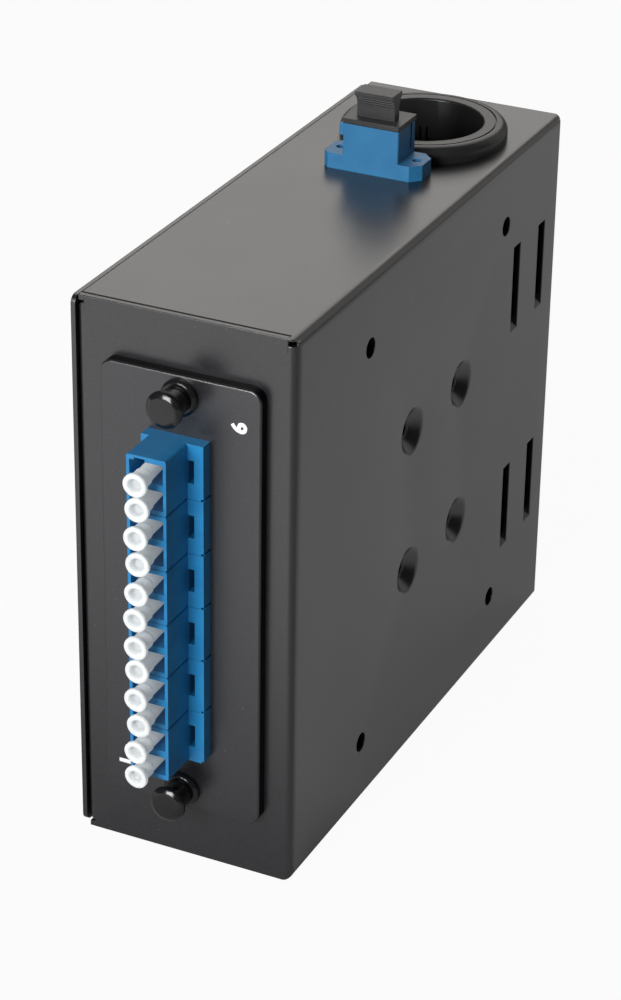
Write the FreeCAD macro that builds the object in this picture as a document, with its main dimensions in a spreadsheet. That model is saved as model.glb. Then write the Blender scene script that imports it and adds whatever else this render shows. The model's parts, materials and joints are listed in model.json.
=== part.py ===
import FreeCAD, Part
import Sketcher
import math
import os
import re

# Fibre optic patch panel: a small folded sheet housing that stands on its narrow underside.
# X runs to the right wall, Y to the rear and Z up. The origin is at the centre of the housing's underside.
# All sizes are in millimetres.

document = FreeCAD.newDocument("FibrePatchPanel")
sheet = document.addObject("Spreadsheet::Sheet", "Sizes")

# Driving sizes, each with its alias, value and what it measures.
sizes = [
    # Housing: one folded sheet
    ("housing_width", 54.0, "over the side cover"),
    ("housing_depth", 150.0, "front panel face to rear panel face"),
    ("housing_height", 135.0, "underside to top face"),
    ("sheet_thickness", 1.2, "sheet of the housing"),
    ("bend_radius", 2.3, "outer radius of every bend"),
    ("seam_gap", 0.4, "between the front or rear panel and the top panel"),
    ("cover_gap", 0.9, "between the top panel's free edge and the cover"),
    ("return_flange_depth", 12.0, "flange bent back beside the cover"),
    ("return_flange_inset", 5.0, "flange ends short of the panel's ends"),
    ("panel_corner_radius", 2.75, "rounded left corners of the front and rear panels"),
    ("relief_length", 3.6, "obround relief hole where two bends meet"),
    ("relief_height", 1.2, "height of the relief hole"),
    ("relief_end_radius", 0.54, "ends of the relief hole"),
    # Right wall
    ("wall_hole_diameter", 4.8, "plain fixing hole"),
    ("wall_hole_spacing_y", 78.0, "fixing holes front to rear"),
    ("wall_hole_spacing_z", 101.6, "fixing holes bottom to top"),
    ("wall_centre_y", 0.9, "middle of the fixing holes"),
    ("wall_centre_z", 67.5, "middle of the fixing holes"),
    ("dish_spacing_y", 28.5, "dished holes front to rear"),
    ("dish_spacing_z", 36.6, "dished holes bottom to top"),
    ("dish_centre_z", 68.8, "middle of the dished holes"),
    ("dish_diameter", 11.6, "mouth of a dish"),
    ("dish_floor_diameter", 6.4, "flat floor of a dish"),
    ("dish_depth", 2.6, "wall face to dish floor"),
    ("dish_hole_diameter", 4.2, "hole in the floor of a dish"),
    ("dish_lip_radius", 1.4, "smooth lip of a dish"),
    ("dish_wall", 0.84, "sloped wall of a dish, measured level"),
    ("slot_width", 4.4, "upright slot"),
    ("slot_length", 22.7, "upright slot"),
    ("slot_ramp_length", 2.5, "sheet bent inward at a slot's lower end"),
    ("slot_ramp_drop", 1.5, "how far that sheet turns inward"),
    ("slot_rear_distance", 11.15, "rear column of slots to the rear panel's face"),
    ("slot_spacing_y", 15.95, "front column to rear column"),
    ("slot_upper_z", 99.3, "middle of the upper slots"),
    ("slot_spacing_z", 60.1, "upper slots to lower slots"),
    # Side cover and its screws
    ("cover_thickness", 1.1, "side cover"),
    ("cover_inset", 0.7, "cover ends short of the housing's top and underside"),
    ("cover_corner_radius", 2.0, "corner of the side cover"),
    ("screw_diameter", 2.9, "shank of a cover screw"),
    ("screw_length", 6.0, "over the head"),
    ("screw_tip_bevel", 0.5, "end of the shank"),
    ("screw_head_diameter", 4.9, "countersunk head"),
    ("screw_drive_width", 0.6, "arm of the cross recess"),
    ("screw_drive_span", 2.6, "tip to tip of the cross recess"),
    ("screw_drive_depth", 0.6, "depth of the cross recess"),
    ("screw_hole_clearance", 0.1, "round the shank, on the radius"),
    ("screw_edge_distance", 6.5, "screw to the panel's face"),
    ("screw_end_distance", 20.0, "screw to the housing's top and underside"),
    # Adapter plate
    ("plate_width", 38.6, "plate on the front panel"),
    ("plate_height", 108.0, "plate on the front panel"),
    ("plate_thickness", 2.9, "plate on the front panel"),
    ("plate_corner_radius", 3.0, "corner of the plate"),
    ("plate_edge_radius", 0.5, "softened front edge"),
    ("plate_centre_x", 0.72, "middle of the plate"),
    ("plate_centre_z", 68.72, "middle of the plate"),
    ("window_side_land", 8.0, "front panel that the plate covers at each side"),
    ("window_end_clearance", 2.0, "window beyond the column of adapters"),
    ("cutout_clearance", 0.2, "plate to the rear body of an adapter"),
    # Duplex adapters
    ("adapter_count", 6, "duplex adapters in the column"),
    ("adapter_pitch", 13.2, "adapter to adapter"),
    ("adapter_seam", 0.1, "between neighbouring adapters"),
    ("column_rise", 0.5, "middle of the column above the middle of the plate"),
    ("column_shift", -0.2, "middle of the flanges beside the middle of the plate"),
    ("adapter_flange_width", 15.0, "flange on the plate"),
    ("adapter_flange_thickness", 3.2, "flange on the plate"),
    ("adapter_body_width", 9.5, "front and rear bodies"),
    ("adapter_body_shift", -1.05, "middle of the body beside the middle of the flange"),
    ("adapter_front_length", 9.7, "front body before the flange"),
    ("adapter_rear_length", 13.0, "rear body behind the plate's face"),
    ("adapter_rear_height", 12.0, "rear body"),
    ("adapter_edge_radius", 0.5, "long edges of the body and flange"),
    ("ear_slot_width", 1.5, "slot in the wide ear"),
    ("ear_slot_height", 5.5, "slot in the wide ear"),
    ("ear_slot_distance", 4.5, "slot to the middle of the flange"),
    ("seam_notch_width", 0.6, "notch at the flange's lower corners"),
    ("seam_notch_height", 0.5, "notch at the flange's lower corners"),
    ("port_width", 8.0, "socket in an adapter"),
    ("port_height", 4.6, "socket in an adapter"),
    ("port_pitch", 6.25, "socket to socket in one adapter"),
    ("port_key_width", 2.6, "keyway over a socket"),
    ("port_key_height", 0.55, "keyway over a socket"),
    ("port_key_shift", 1.6, "keyway beside the middle of the socket"),
    ("partition_thickness", 2.0, "wall between the front and rear sockets"),
    ("holder_diameter", 3.0, "tube that holds a sleeve"),
    ("holder_reach", 2.9, "tube beyond the partition, each way"),
    ("holder_lip_length", 0.8, "lip that stops the sleeve"),
    ("holder_lip_diameter", 1.35, "hole through the lip"),
    ("sleeve_diameter", 1.6, "ceramic alignment sleeve"),
    ("sleeve_bore", 1.25, "ceramic alignment sleeve"),
    ("sleeve_length", 6.8, "ceramic alignment sleeve"),
    ("sleeve_slit", 0.3, "slit along the sleeve"),
    ("sleeve_clearance", 0.04, "round the sleeve, on the radius"),
    # Spring clips behind the plate
    ("clip_thickness", 0.3, "spring strip"),
    ("clip_depth", 4.0, "strip along the adapter"),
    ("clip_clearance", 0.1, "strip to the adapter and the plate"),
    ("clip_leg_drop", 3.0, "leg ends above the adapter's lower face"),
    ("clip_foot_reach", 2.0, "foot turned out on the plate"),
    # Dust caps of the duplex adapters
    ("cap_ring_diameter", 5.6, "flared end of a dust cap"),
    ("cap_ring_thickness", 1.2, "flared end of a dust cap"),
    ("cap_edge_bevel", 0.2, "edges of the flared end"),
    ("cap_dish_diameter", 4.3, "mouth of the dished end"),
    ("cap_dish_floor_diameter", 2.7, "floor of the dished end"),
    ("cap_dish_depth", 0.9, "dished end"),
    ("cap_web_thickness", 0.8, "closed web behind the dish"),
    ("cap_tube_diameter", 4.2, "tube outside the socket"),
    ("cap_plug_diameter", 3.7, "tube inside the socket"),
    ("cap_bore_diameter", 2.7, "open rear end of the tube"),
    ("cap_insertion", 6.5, "tube inside the socket"),
    ("cap_reach", 5.7, "cap in front of the adapter"),
    ("cap_step_gap", 0.8, "thick part of the tube ends before the socket"),
    ("cap_drop", 0.08, "caps rest a little low in their sockets"),
    # Push-pull plungers
    ("plunger_spacing", 98.3, "plunger to plunger"),
    ("plunger_shift", 0.3, "plungers beside the middle of the plate"),
    ("bush_collar_diameter", 8.6, "collar on the plate"),
    ("bush_collar_thickness", 1.8, "collar on the plate"),
    ("bush_collar_bevel", 0.6, "front edge of the collar"),
    ("bush_barrel_diameter", 5.6, "barrel through the plate and the front panel"),
    ("bush_barrel_length", 8.5, "barrel behind the collar"),
    ("bush_tip_length", 0.8, "tapered end of the barrel"),
    ("bush_tip_taper", 0.5, "tapered end of the barrel, on the radius"),
    ("bush_slit_width", 0.8, "slits between the barrel's fingers"),
    ("bush_slit_length", 5.0, "slits between the barrel's fingers"),
    ("bush_hole_clearance", 0.1, "round the barrel in the plate, on the radius"),
    ("latch_hole_clearance", 0.35, "round the barrel in the front panel, on the radius"),
    ("pin_diameter", 3.2, "shank of a plunger pin"),
    ("pin_length", 7.5, "shank inside the bush"),
    ("pin_clearance", 0.06, "round the shank, on the radius"),
    ("pin_neck_diameter", 6.4, "neck under the head"),
    ("pin_neck_length", 4.9, "neck under the head"),
    ("pin_head_diameter", 8.6, "head of a plunger pin"),
    ("pin_head_thickness", 1.9, "head of a plunger pin"),
    ("pin_head_bevel", 0.8, "bevel round the head, on the radius"),
    ("pin_head_bevel_depth", 0.56, "bevel round the head, along the pin"),
    ("pin_back_bevel", 0.3, "rear edge of the head"),
    ("pin_tip_bevel", 0.6, "end of the shank"),
    ("pin_seat_gap", 0.2, "neck to collar when pushed home"),
    # Multi-fibre adapter in the top
    ("top_adapter_x", 1.35, "middle of the adapter"),
    ("top_adapter_rear_distance", 53.8, "middle of the adapter to the rear panel's face"),
    ("top_flange_length", 24.7, "flange on the top panel"),
    ("top_ear_length", 5.25, "flange beyond the body, each side"),
    ("top_adapter_depth", 9.8, "flange and body, front to rear"),
    ("top_flange_thickness", 3.8, "both halves of the flange"),
    ("top_flange_chamfer", 2.4, "cut corners of the flange"),
    ("top_flange_small_chamfer", 1.45, "its front left corner"),
    ("top_body_height", 11.7, "body above the top panel"),
    ("top_inner_depth", 12.0, "body below the top panel's face"),
    ("top_inner_slack", 0.4, "inner body smaller than the outer one, each side"),
    ("top_hole_end_distance", 2.6, "empty screw holes to the flange's ends"),
    ("top_hole_diameter", 2.2, "empty screw holes of the flange"),
    ("top_port_wall", 1.2, "body beside the socket"),
    ("top_port_depth", 6.6, "socket, front to rear"),
    ("top_port_reach", 8.6, "socket from either end"),
    ("top_passage_step", 2.4, "fibre passage narrower than the socket, each side"),
    ("top_passage_depth", 3.2, "fibre passage between the sockets"),
    ("top_window_width", 4.0, "latch window in the left side"),
    ("top_window_height", 1.8, "latch window in the left side"),
    ("top_side_slot_width", 0.9, "upright slot in the right side"),
    ("top_side_slot_height", 6.2, "upright slot in the right side"),
    ("top_bridge_reach", 0.95, "latch bridge over the window, proud of the left side"),
    ("top_bridge_width", 9.0, "latch bridge over the window"),
    ("top_bridge_height", 3.1, "latch bridge, from the body's end"),
    ("top_bridge_step", 0.2, "latch bridge below the body's end"),
    ("top_edge_radius", 0.4, "upright edges of the body"),
    ("top_cutout_clearance", 0.3, "top panel to the inner body"),
    ("top_clip_thickness", 0.4, "clip under the top panel"),
    ("top_clip_height", 3.0, "clip leg"),
    ("top_clip_foot", 2.6, "clip foot under the top panel"),
    # Its dust cap
    ("top_cap_overhang", 0.2, "plate of the cap beyond the adapter, each side"),
    ("top_cap_thickness", 1.2, "plate of the cap"),
    ("top_cap_rim", 0.2, "cap plate above the adapter's end"),
    ("top_plug_clearance", 0.25, "plug in the socket, each side"),
    ("top_plug_length", 6.0, "plug in the socket"),
    ("top_plug_wall", 1.0, "wall of the hollow plug"),
    ("grip_width", 9.6, "finger grip"),
    ("grip_depth", 5.4, "finger grip at its top"),
    ("grip_foot_depth", 2.5, "upright foot of the grip"),
    ("grip_foot_height", 3.0, "upright foot of the grip"),
    ("grip_height", 6.4, "finger grip above the plate"),
    ("grip_shift", -0.85, "grip before the middle of the cap"),
    ("grip_lip", 0.9, "upright face at the grip's top"),
    ("grip_hollow_radius", 2.9, "hollow in each face of the grip"),
    ("grip_rib_diameter", 0.4, "ribs across the grip"),
    ("grip_rib_pitch", 0.6, "rib to rib"),
    ("grip_rib_start", 0.24, "first rib below the lip"),
    ("grip_rib_count", 4, "ribs across each face"),
    # Cable bushing
    ("bushing_x", 1.8, "middle of the bushing"),
    ("bushing_rear_distance", 28.4, "middle of the bushing to the rear panel's face"),
    ("bushing_wall", 2.5, "wall of the barrel, round the cable passage"),
    ("bushing_skirt_diameter", 40.6, "skirt on the top panel"),
    ("bushing_height", 4.0, "above the top panel"),
    ("bushing_shoulder_radius", 2.2, "rounded shoulder of the skirt"),
    ("bushing_mouth_radius", 0.6, "softened edge of the passage"),
    ("bushing_groove_diameter", 34.9, "fine groove in the rim"),
    ("bushing_groove_width", 0.4, "fine groove in the rim"),
    ("bushing_barrel_diameter", 33.8, "barrel through the top panel"),
    ("bushing_barrel_length", 13.0, "barrel below the top panel's face"),
    ("bushing_hole_clearance", 0.2, "round the barrel, on the radius"),
    ("bushing_turn", 68.0, "degrees that the bushing is turned in its hole"),
    ("bushing_finger_count", 4, "fingers of the barrel"),
    ("bushing_gap_level", 6.8, "level slot between fingers, below the top panel's face"),
    ("bushing_gap_height", 0.8, "level slot between fingers"),
    ("bushing_gap_depth", 0.9, "level slot between fingers"),
    ("bushing_strip_width", 1.2, "upright strip between two slits"),
    ("bushing_slit_width", 0.4, "upright slits beside the strip"),
    ("bushing_slit_level", 3.4, "top of the slits, below the top panel's face"),
    ("bushing_slot_start", 0.5, "slots and slits start inside the bore"),
    ("bushing_lug_reach", 1.2, "snap lug beyond the barrel"),
    ("bushing_lug_height", 4.5, "snap lug under the top panel"),
    ("bushing_lug_width", 9.0, "snap lug round the barrel"),
    ("bushing_lug_gap", 0.1, "snap lug to the top panel"),
    ("bushing_lug_root", 0.8, "snap lug let into the barrel"),
    ("bushing_lug_face", 0.8, "upright face of a snap lug"),
]

for row, (alias, value, note) in enumerate(sizes, start=1):
    sheet.set(f"A{row}", alias)
    sheet.set(f"B{row}", str(value))
    sheet.set(f"C{row}", note)
    sheet.setAlias(f"B{row}", alias)
document.recompute()

known = {alias for alias, value, note in sizes}


def bound(formula):
    """The formula with each size's alias pointed at the spreadsheet."""
    return re.sub(r"[a-z][a-z_]*", lambda word: "Sizes." + word[0] if word[0] in known else word[0], formula)


def worth(formula):
    """The number that a formula of sizes gives now."""
    return float(sheet.evalExpression(bound(formula)))


# Places that several pieces share, as formulas of the sizes.
FRONT = "(-housing_depth / 2)"
REAR = "(housing_depth / 2)"
RIGHT = "(housing_width / 2)"
LEFT = "(-housing_width / 2)"
COVER_INSIDE = f"({LEFT} + cover_thickness)"
PLUNGER_X = "(plate_centre_x + plunger_shift)"
PLATE_FACE = f"({FRONT} - plate_thickness)"
ADAPTER_END = f"({PLATE_FACE} - adapter_flange_thickness - adapter_front_length)"
COLUMN_X = "(plate_centre_x + column_shift)"
COLUMN_Z = "(plate_centre_z + column_rise)"
BODY_X = f"({COLUMN_X} + adapter_body_shift)"
PORT_DEPTH = ("((adapter_front_length + adapter_flange_thickness + adapter_rear_length"
              " - partition_thickness) / 2)")
SLEEVE_BORE = "(sleeve_diameter / 2 + sleeve_clearance)"
PANEL_INSIDE = "(housing_height - sheet_thickness)"
BUSHING_Y = f"({REAR} - bushing_rear_distance)"
BUSHING_BORE = "(bushing_barrel_diameter - 2 * bushing_wall)"
TOP_ADAPTER_Y = f"({REAR} - top_adapter_rear_distance)"
TOP_BODY_WIDTH = "(top_flange_length - 2 * top_ear_length)"
TOP_PORT_WIDTH = f"({TOP_BODY_WIDTH} - 2 * top_port_wall)"


# Drawing helpers

def new_body(name):
    """An empty body whose label is the piece's name."""
    body = document.addObject("PartDesign::Body", name)
    body.Label = name
    return body


def put(item, x="0", y="0", z="0"):
    """Places a body or a solid by formulas."""
    for axis, formula in zip("xyz", (x, y, z)):
        item.setExpression(f"Placement.Base.{axis}", bound(formula))


def sketch_on(body, name, role, x="0", y="0", z="0"):
    """A sketch on one of the body's own planes, with its origin at the point given."""
    sketch = body.newObject("Sketcher::SketchObject", name)
    plane = [item for item in body.Origin.OriginFeatures if item.Role == role][0]
    sketch.AttachmentSupport = [(plane, "")]
    sketch.MapMode = "FlatFace"
    shifts = {"XY_Plane": (x, y, z), "XZ_Plane": (x, z, f"-({y})"), "YZ_Plane": (y, z, x)}[role]
    for axis, formula in zip("xyz", shifts):
        sketch.setExpression(f"AttachmentOffset.Base.{axis}", bound(formula))
    return sketch


def fix_point(sketch, geometry, point, x, y):
    """Holds a point of a sketch at two formulas; None leaves that direction free."""
    for kind, formula, axis in (("DistanceX", x, -2), ("DistanceY", y, -1)):
        if formula is None:
            continue
        value = worth(formula)
        if abs(value) < 1e-9:
            sketch.addConstraint(Sketcher.Constraint("PointOnObject", geometry, point, axis))
        else:
            index = sketch.addConstraint(Sketcher.Constraint(kind, -1, 1, geometry, point, value))
            sketch.setExpression(f"Constraints[{index}]", bound(formula))


def draw_polygon(sketch, corners):
    """A closed outline of straight lines through corners given as formulas."""
    points = [FreeCAD.Vector(worth(x), worth(y), 0) for x, y in corners]
    first = sketch.GeometryCount
    count = len(points)
    for i in range(count):
        sketch.addGeometry(Part.LineSegment(points[i], points[(i + 1) % count]))
    for i in range(count):
        sketch.addConstraint(Sketcher.Constraint("Coincident", first + i, 2, first + (i + 1) % count, 1))
    for i, (x, y) in enumerate(corners):
        fix_point(sketch, first + i, 1, x, y)


def draw_box(sketch, x0, y0, x1, y1):
    """A rectangle between two corners."""
    draw_polygon(sketch, [(x0, y0), (x1, y0), (x1, y1), (x0, y1)])


def draw_rounded_box(sketch, x0, y0, x1, y1, radius):
    """A rectangle whose four corners are arcs of one radius."""
    left, low, right, high, r = worth(x0), worth(y0), worth(x1), worth(y1), worth(radius)
    first = sketch.GeometryCount
    vector = FreeCAD.Vector
    for start, end in (((left + r, low), (right - r, low)), ((right, low + r), (right, high - r)),
                       ((right - r, high), (left + r, high)), ((left, high - r), (left, low + r))):
        sketch.addGeometry(Part.LineSegment(vector(*start, 0), vector(*end, 0)))
    for i, (x, y) in enumerate(((right - r, low + r), (right - r, high - r), (left + r, high - r),
                                (left + r, low + r))):
        circle = Part.Circle(vector(x, y, 0), vector(0, 0, 1), r)
        sketch.addGeometry(Part.ArcOfCircle(circle, (i - 1) * math.pi / 2, i * math.pi / 2))
    for i in range(4):
        arc = first + 4 + i
        sketch.addConstraint(Sketcher.Constraint("Tangent", first + i, 2, arc, 1))
        sketch.addConstraint(Sketcher.Constraint("Tangent", arc, 2, first + (i + 1) % 4, 1))
        sketch.addConstraint(Sketcher.Constraint("Horizontal" if i % 2 == 0 else "Vertical", first + i))
        if i:
            sketch.addConstraint(Sketcher.Constraint("Equal", first + 4, arc))
    index = sketch.addConstraint(Sketcher.Constraint("Radius", first + 4, r))
    sketch.setExpression(f"Constraints[{index}]", bound(radius))
    fix_point(sketch, first, 1, None, y0)
    fix_point(sketch, first + 1, 1, x1, None)
    fix_point(sketch, first + 2, 1, None, y1)
    fix_point(sketch, first + 3, 1, x0, None)


def draw_circle(sketch, x, y, diameter):
    """A circle about a point given as formulas."""
    index = sketch.GeometryCount
    centre = FreeCAD.Vector(worth(x), worth(y), 0)
    sketch.addGeometry(Part.Circle(centre, FreeCAD.Vector(0, 0, 1), worth(diameter) / 2))
    fix_point(sketch, index, 3, x, y)
    number = sketch.addConstraint(Sketcher.Constraint("Diameter", index, worth(diameter)))
    sketch.setExpression(f"Constraints[{number}]", bound(diameter))


def add(body, sketch, length):
    """Adds the sketch's outline along the plane's positive axis."""
    pad = body.newObject("PartDesign::Pad", sketch.Name + "Pad")
    pad.Profile = sketch
    pad.setExpression("Length", bound(length))
    pad.Reversed = "XZ" in sketch.AttachmentSupport[0][0].Role
    return pad


def cut(body, sketch, length):
    """Cuts the sketch's outline along the plane's positive axis."""
    pocket = body.newObject("PartDesign::Pocket", sketch.Name + "Pocket")
    pocket.Profile = sketch
    pocket.setExpression("Length", bound(length))
    pocket.Reversed = "XZ" not in sketch.AttachmentSupport[0][0].Role
    return pocket


def turn(body, sketch, axis, kind="Revolution"):
    """Turns the sketch's outline round one of its own axes, as added or cut away."""
    feature = body.newObject(f"PartDesign::{kind}", sketch.Name + kind)
    feature.Profile = sketch
    feature.ReferenceAxis = (sketch, [axis])
    feature.Angle = 360
    return feature


def soften(body, name, kind, size, test):
    """Rounds or bevels the edges of the body that pass the test."""
    document.recompute()
    base = body.Tip
    names = [f"Edge{i}" for i, edge in enumerate(base.Shape.Edges, start=1) if test(edge)]
    feature = body.newObject(f"PartDesign::{kind}", name)
    feature.Base = (base, names)
    feature.setExpression("Radius" if kind == "Fillet" else "Size", bound(size))
    return feature


def at(value, formula):
    """Whether a measured place lies at a formula's value."""
    return abs(value - worth(formula)) < 1e-4


def flat_in(edge, axis, formula):
    """Whether a whole edge lies in the plane where one coordinate has the formula's value."""
    low, high = getattr(edge.BoundBox, axis + "Min"), getattr(edge.BoundBox, axis + "Max")
    return at(low, formula) and at(high, formula)


def ring_edge(edge, diameter):
    """Whether an edge is a circle of the given diameter."""
    return edge.Curve.TypeId == "Part::GeomCircle" and abs(edge.Curve.Radius - worth(diameter) / 2) < 1e-4


pieces = []


def finished(item):
    """Notes a finished piece for the checks and the export."""
    pieces.append(item)
    return item


# Housing: one sheet folded five ways

def fold_sheet(body):
    """Right wall, front, top, underside and rear, then the bends at the open left side."""
    start = f"{COVER_INSIDE} + bend_radius"
    outline = sketch_on(body, "HousingOutline", "XY_Plane")
    draw_box(outline, start, FRONT, RIGHT, REAR)
    add(body, outline, "housing_height")
    soften(body, "OuterBends", "Fillet", "bend_radius", lambda edge: flat_in(edge, "X", RIGHT))
    inside = sketch_on(body, "HousingInside", "YZ_Plane", x=start)
    draw_box(inside, f"{FRONT} + sheet_thickness", "sheet_thickness", f"{REAR} - sheet_thickness", PANEL_INSIDE)
    cut(body, inside, f"{RIGHT} - sheet_thickness - ({start})")
    soften(body, "InnerBends", "Fillet", "bend_radius - sheet_thickness",
           lambda edge: flat_in(edge, "X", f"{RIGHT} - sheet_thickness"))
    for name, level in (("Underside", "0"), ("Top", PANEL_INSIDE)):
        strip = sketch_on(body, name + "Edge", "XY_Plane", z=level)
        draw_box(strip, f"{COVER_INSIDE} + cover_gap", FRONT, start, REAR)
        add(body, strip, "sheet_thickness")


def cut_seams(body):
    """Gaps beside the top and underside, and the relief holes where two bends meet."""
    for name, y in (("Front", FRONT), ("Rear", f"{REAR} - sheet_thickness")):
        seams = sketch_on(body, name + "Seams", "XZ_Plane", y=y)
        for low in ("sheet_thickness", f"{PANEL_INSIDE} - seam_gap"):
            draw_box(seams, LEFT, low, f"{RIGHT} - bend_radius", f"{low} + seam_gap")
        cut(body, seams, "sheet_thickness")
    depth = "bend_radius"
    for name, y in (("Front", FRONT), ("Rear", f"{REAR} - {depth}")):
        holes = sketch_on(body, name + "Reliefs", "XZ_Plane", y=y)
        middle = f"({RIGHT} - bend_radius)"
        for level in ("sheet_thickness", PANEL_INSIDE):
            draw_rounded_box(holes, f"{middle} - relief_length / 2", f"{level} - relief_height / 2",
                             f"{middle} + relief_length / 2", f"{level} + relief_height / 2",
                             "relief_end_radius")
        cut(body, holes, depth)


def bend_flanges(body):
    """Left edges of the front and rear panels: a bend and a flange that carries the cover's screws."""
    low = "sheet_thickness + seam_gap"
    height = "(housing_height - 2 * sheet_thickness - 2 * seam_gap)"
    centre_x = f"({COVER_INSIDE} + bend_radius)"
    for name, face, way in (("Front", FRONT, "1"), ("Rear", REAR, "-1")):
        centre_y = f"({face} + {way} * bend_radius)"
        bend = sketch_on(body, name + "Bend", "XY_Plane", x=centre_x, y=centre_y, z=low)
        draw_bend(bend, float(way))
        add(body, bend, height)
        flange = sketch_on(body, name + "Flange", "XY_Plane", x=COVER_INSIDE, y=centre_y,
                           z=f"{low} + return_flange_inset")
        draw_box(flange, "0", "0", "sheet_thickness", f"{way} * (return_flange_depth - bend_radius)")
        add(body, flange, f"{height} - 2 * return_flange_inset")
        corners = sketch_on(body, name + "Corners", "XZ_Plane", x=COVER_INSIDE,
                            y=f"{face} - ({way} - 1) / 2 * (-bend_radius)")
        draw_corner(corners, low, 1)
        draw_corner(corners, f"{low} + {height}", -1)
        cut(body, corners, "bend_radius")


def draw_bend(sketch, way):
    """A quarter of a ring about the sketch's origin: from the panel round to the flange."""
    outer, inner = worth("bend_radius"), worth("bend_radius - sheet_thickness")
    origin, up = FreeCAD.Vector(0, 0, 0), FreeCAD.Vector(0, 0, 1)
    angles = (math.pi, 1.5 * math.pi) if way > 0 else (0.5 * math.pi, math.pi)
    for radius in (outer, inner):
        sketch.addGeometry(Part.ArcOfCircle(Part.Circle(origin, up, radius), *angles))
    ends = [[FreeCAD.Vector(r * math.cos(a), r * math.sin(a), 0) for a in angles] for r in (outer, inner)]
    for i in range(2):
        sketch.addGeometry(Part.LineSegment(ends[0][i], ends[1][i]))
    for arc in range(2):
        sketch.addConstraint(Sketcher.Constraint("Coincident", arc, 3, -1, 1))
        for i in range(2):
            sketch.addConstraint(Sketcher.Constraint("Coincident", 2 + i, 1 + arc, arc, 1 + i))
    level_line, upright_line = (0, 1) if way > 0 else (1, 0)
    sketch.addConstraint(Sketcher.Constraint("Horizontal", 2 + level_line))
    sketch.addConstraint(Sketcher.Constraint("Vertical", 2 + upright_line))
    sketch.addConstraint(Sketcher.Constraint("PointOnObject", level_line, 1 + level_line, -1))
    for arc, formula in enumerate(("bend_radius", "bend_radius - sheet_thickness")):
        index = sketch.addConstraint(Sketcher.Constraint("Radius", arc, worth(formula)))
        sketch.setExpression(f"Constraints[{index}]", bound(formula))
    sketch.addConstraint(Sketcher.Constraint("PointOnObject", upright_line, 1 + upright_line, -2))


def draw_corner(sketch, level, way):
    """What is trimmed off a left corner: a square less a quarter circle, upwards or downwards."""
    radius, base = worth("panel_corner_radius"), worth(level)
    first = sketch.GeometryCount
    centre = FreeCAD.Vector(radius, base + way * radius, 0)
    angles = (math.pi, 1.5 * math.pi) if way > 0 else (0.5 * math.pi, math.pi)
    sketch.addGeometry(Part.ArcOfCircle(Part.Circle(centre, FreeCAD.Vector(0, 0, 1), radius), *angles))
    corner = FreeCAD.Vector(0, base, 0)
    side, end = FreeCAD.Vector(0, base + way * radius, 0), FreeCAD.Vector(radius, base, 0)
    sketch.addGeometry(Part.LineSegment(corner, side))
    sketch.addGeometry(Part.LineSegment(corner, end))
    side_end, level_end = (1, 2) if way > 0 else (2, 1)
    sketch.addConstraint(Sketcher.Constraint("Coincident", first + 1, 1, first + 2, 1))
    sketch.addConstraint(Sketcher.Constraint("Tangent", first + 1, 2, first, side_end))
    sketch.addConstraint(Sketcher.Constraint("Tangent", first + 2, 2, first, level_end))
    sketch.addConstraint(Sketcher.Constraint("Vertical", first + 1))
    sketch.addConstraint(Sketcher.Constraint("Horizontal", first + 2))
    fix_point(sketch, first + 1, 1, "0", level)
    index = sketch.addConstraint(Sketcher.Constraint("Radius", first, radius))
    sketch.setExpression(f"Constraints[{index}]", bound("panel_corner_radius"))


def press_right_wall(body):
    """Fixing holes, dished screw holes and upright slots of the right wall."""
    holes = sketch_on(body, "FixingHoles", "YZ_Plane", x=f"{RIGHT} - sheet_thickness", y="wall_centre_y",
                      z="wall_centre_z")
    for side in (-1, 1):
        for level in (-1, 1):
            draw_circle(holes, f"{side} * wall_hole_spacing_y / 2", f"{level} * wall_hole_spacing_z / 2",
                        "wall_hole_diameter")
    cut(body, holes, "sheet_thickness")
    mouths = sketch_on(body, "DishMouths", "YZ_Plane", x=f"{RIGHT} - sheet_thickness", y="wall_centre_y",
                       z="dish_centre_z")
    for side in (-1, 1):
        for level in (-1, 1):
            draw_circle(mouths, f"{side} * dish_spacing_y / 2", f"{level} * dish_spacing_z / 2",
                        "dish_diameter + 2 * dish_wall")
    cut(body, mouths, "sheet_thickness")
    for side in (-1, 1):
        for level in (-1, 1):
            press_dish(body, side, level)
    soften(body, "DishLips", "Fillet", "dish_lip_radius",
           lambda edge: flat_in(edge, "X", RIGHT) and ring_edge(edge, "dish_diameter"))
    for row in range(2):
        for column in range(2):
            cut_slot(body, column, row)


def press_dish(body, side, level):
    """One dish: the sheet drawn inward as a cone with a flat, holed floor."""
    dish = sketch_on(body, f"Dish{'FR'[side > 0]}{'LU'[level > 0]}", "XY_Plane", x=RIGHT,
                     y=f"wall_centre_y + {side} * dish_spacing_y / 2",
                     z=f"dish_centre_z + {level} * dish_spacing_z / 2")
    mouth, floor, hole = "dish_diameter / 2", "dish_floor_diameter / 2", "dish_hole_diameter / 2"
    under = "(-dish_depth - sheet_thickness)"
    draw_polygon(dish, [("0", mouth), ("-dish_depth", floor), ("-dish_depth", hole), (under, hole),
                        (under, f"{floor} + dish_wall"), ("-sheet_thickness", f"{mouth} + dish_wall"),
                        ("0", f"{mouth} + dish_wall")])
    turn(body, dish, "H_Axis")


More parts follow.
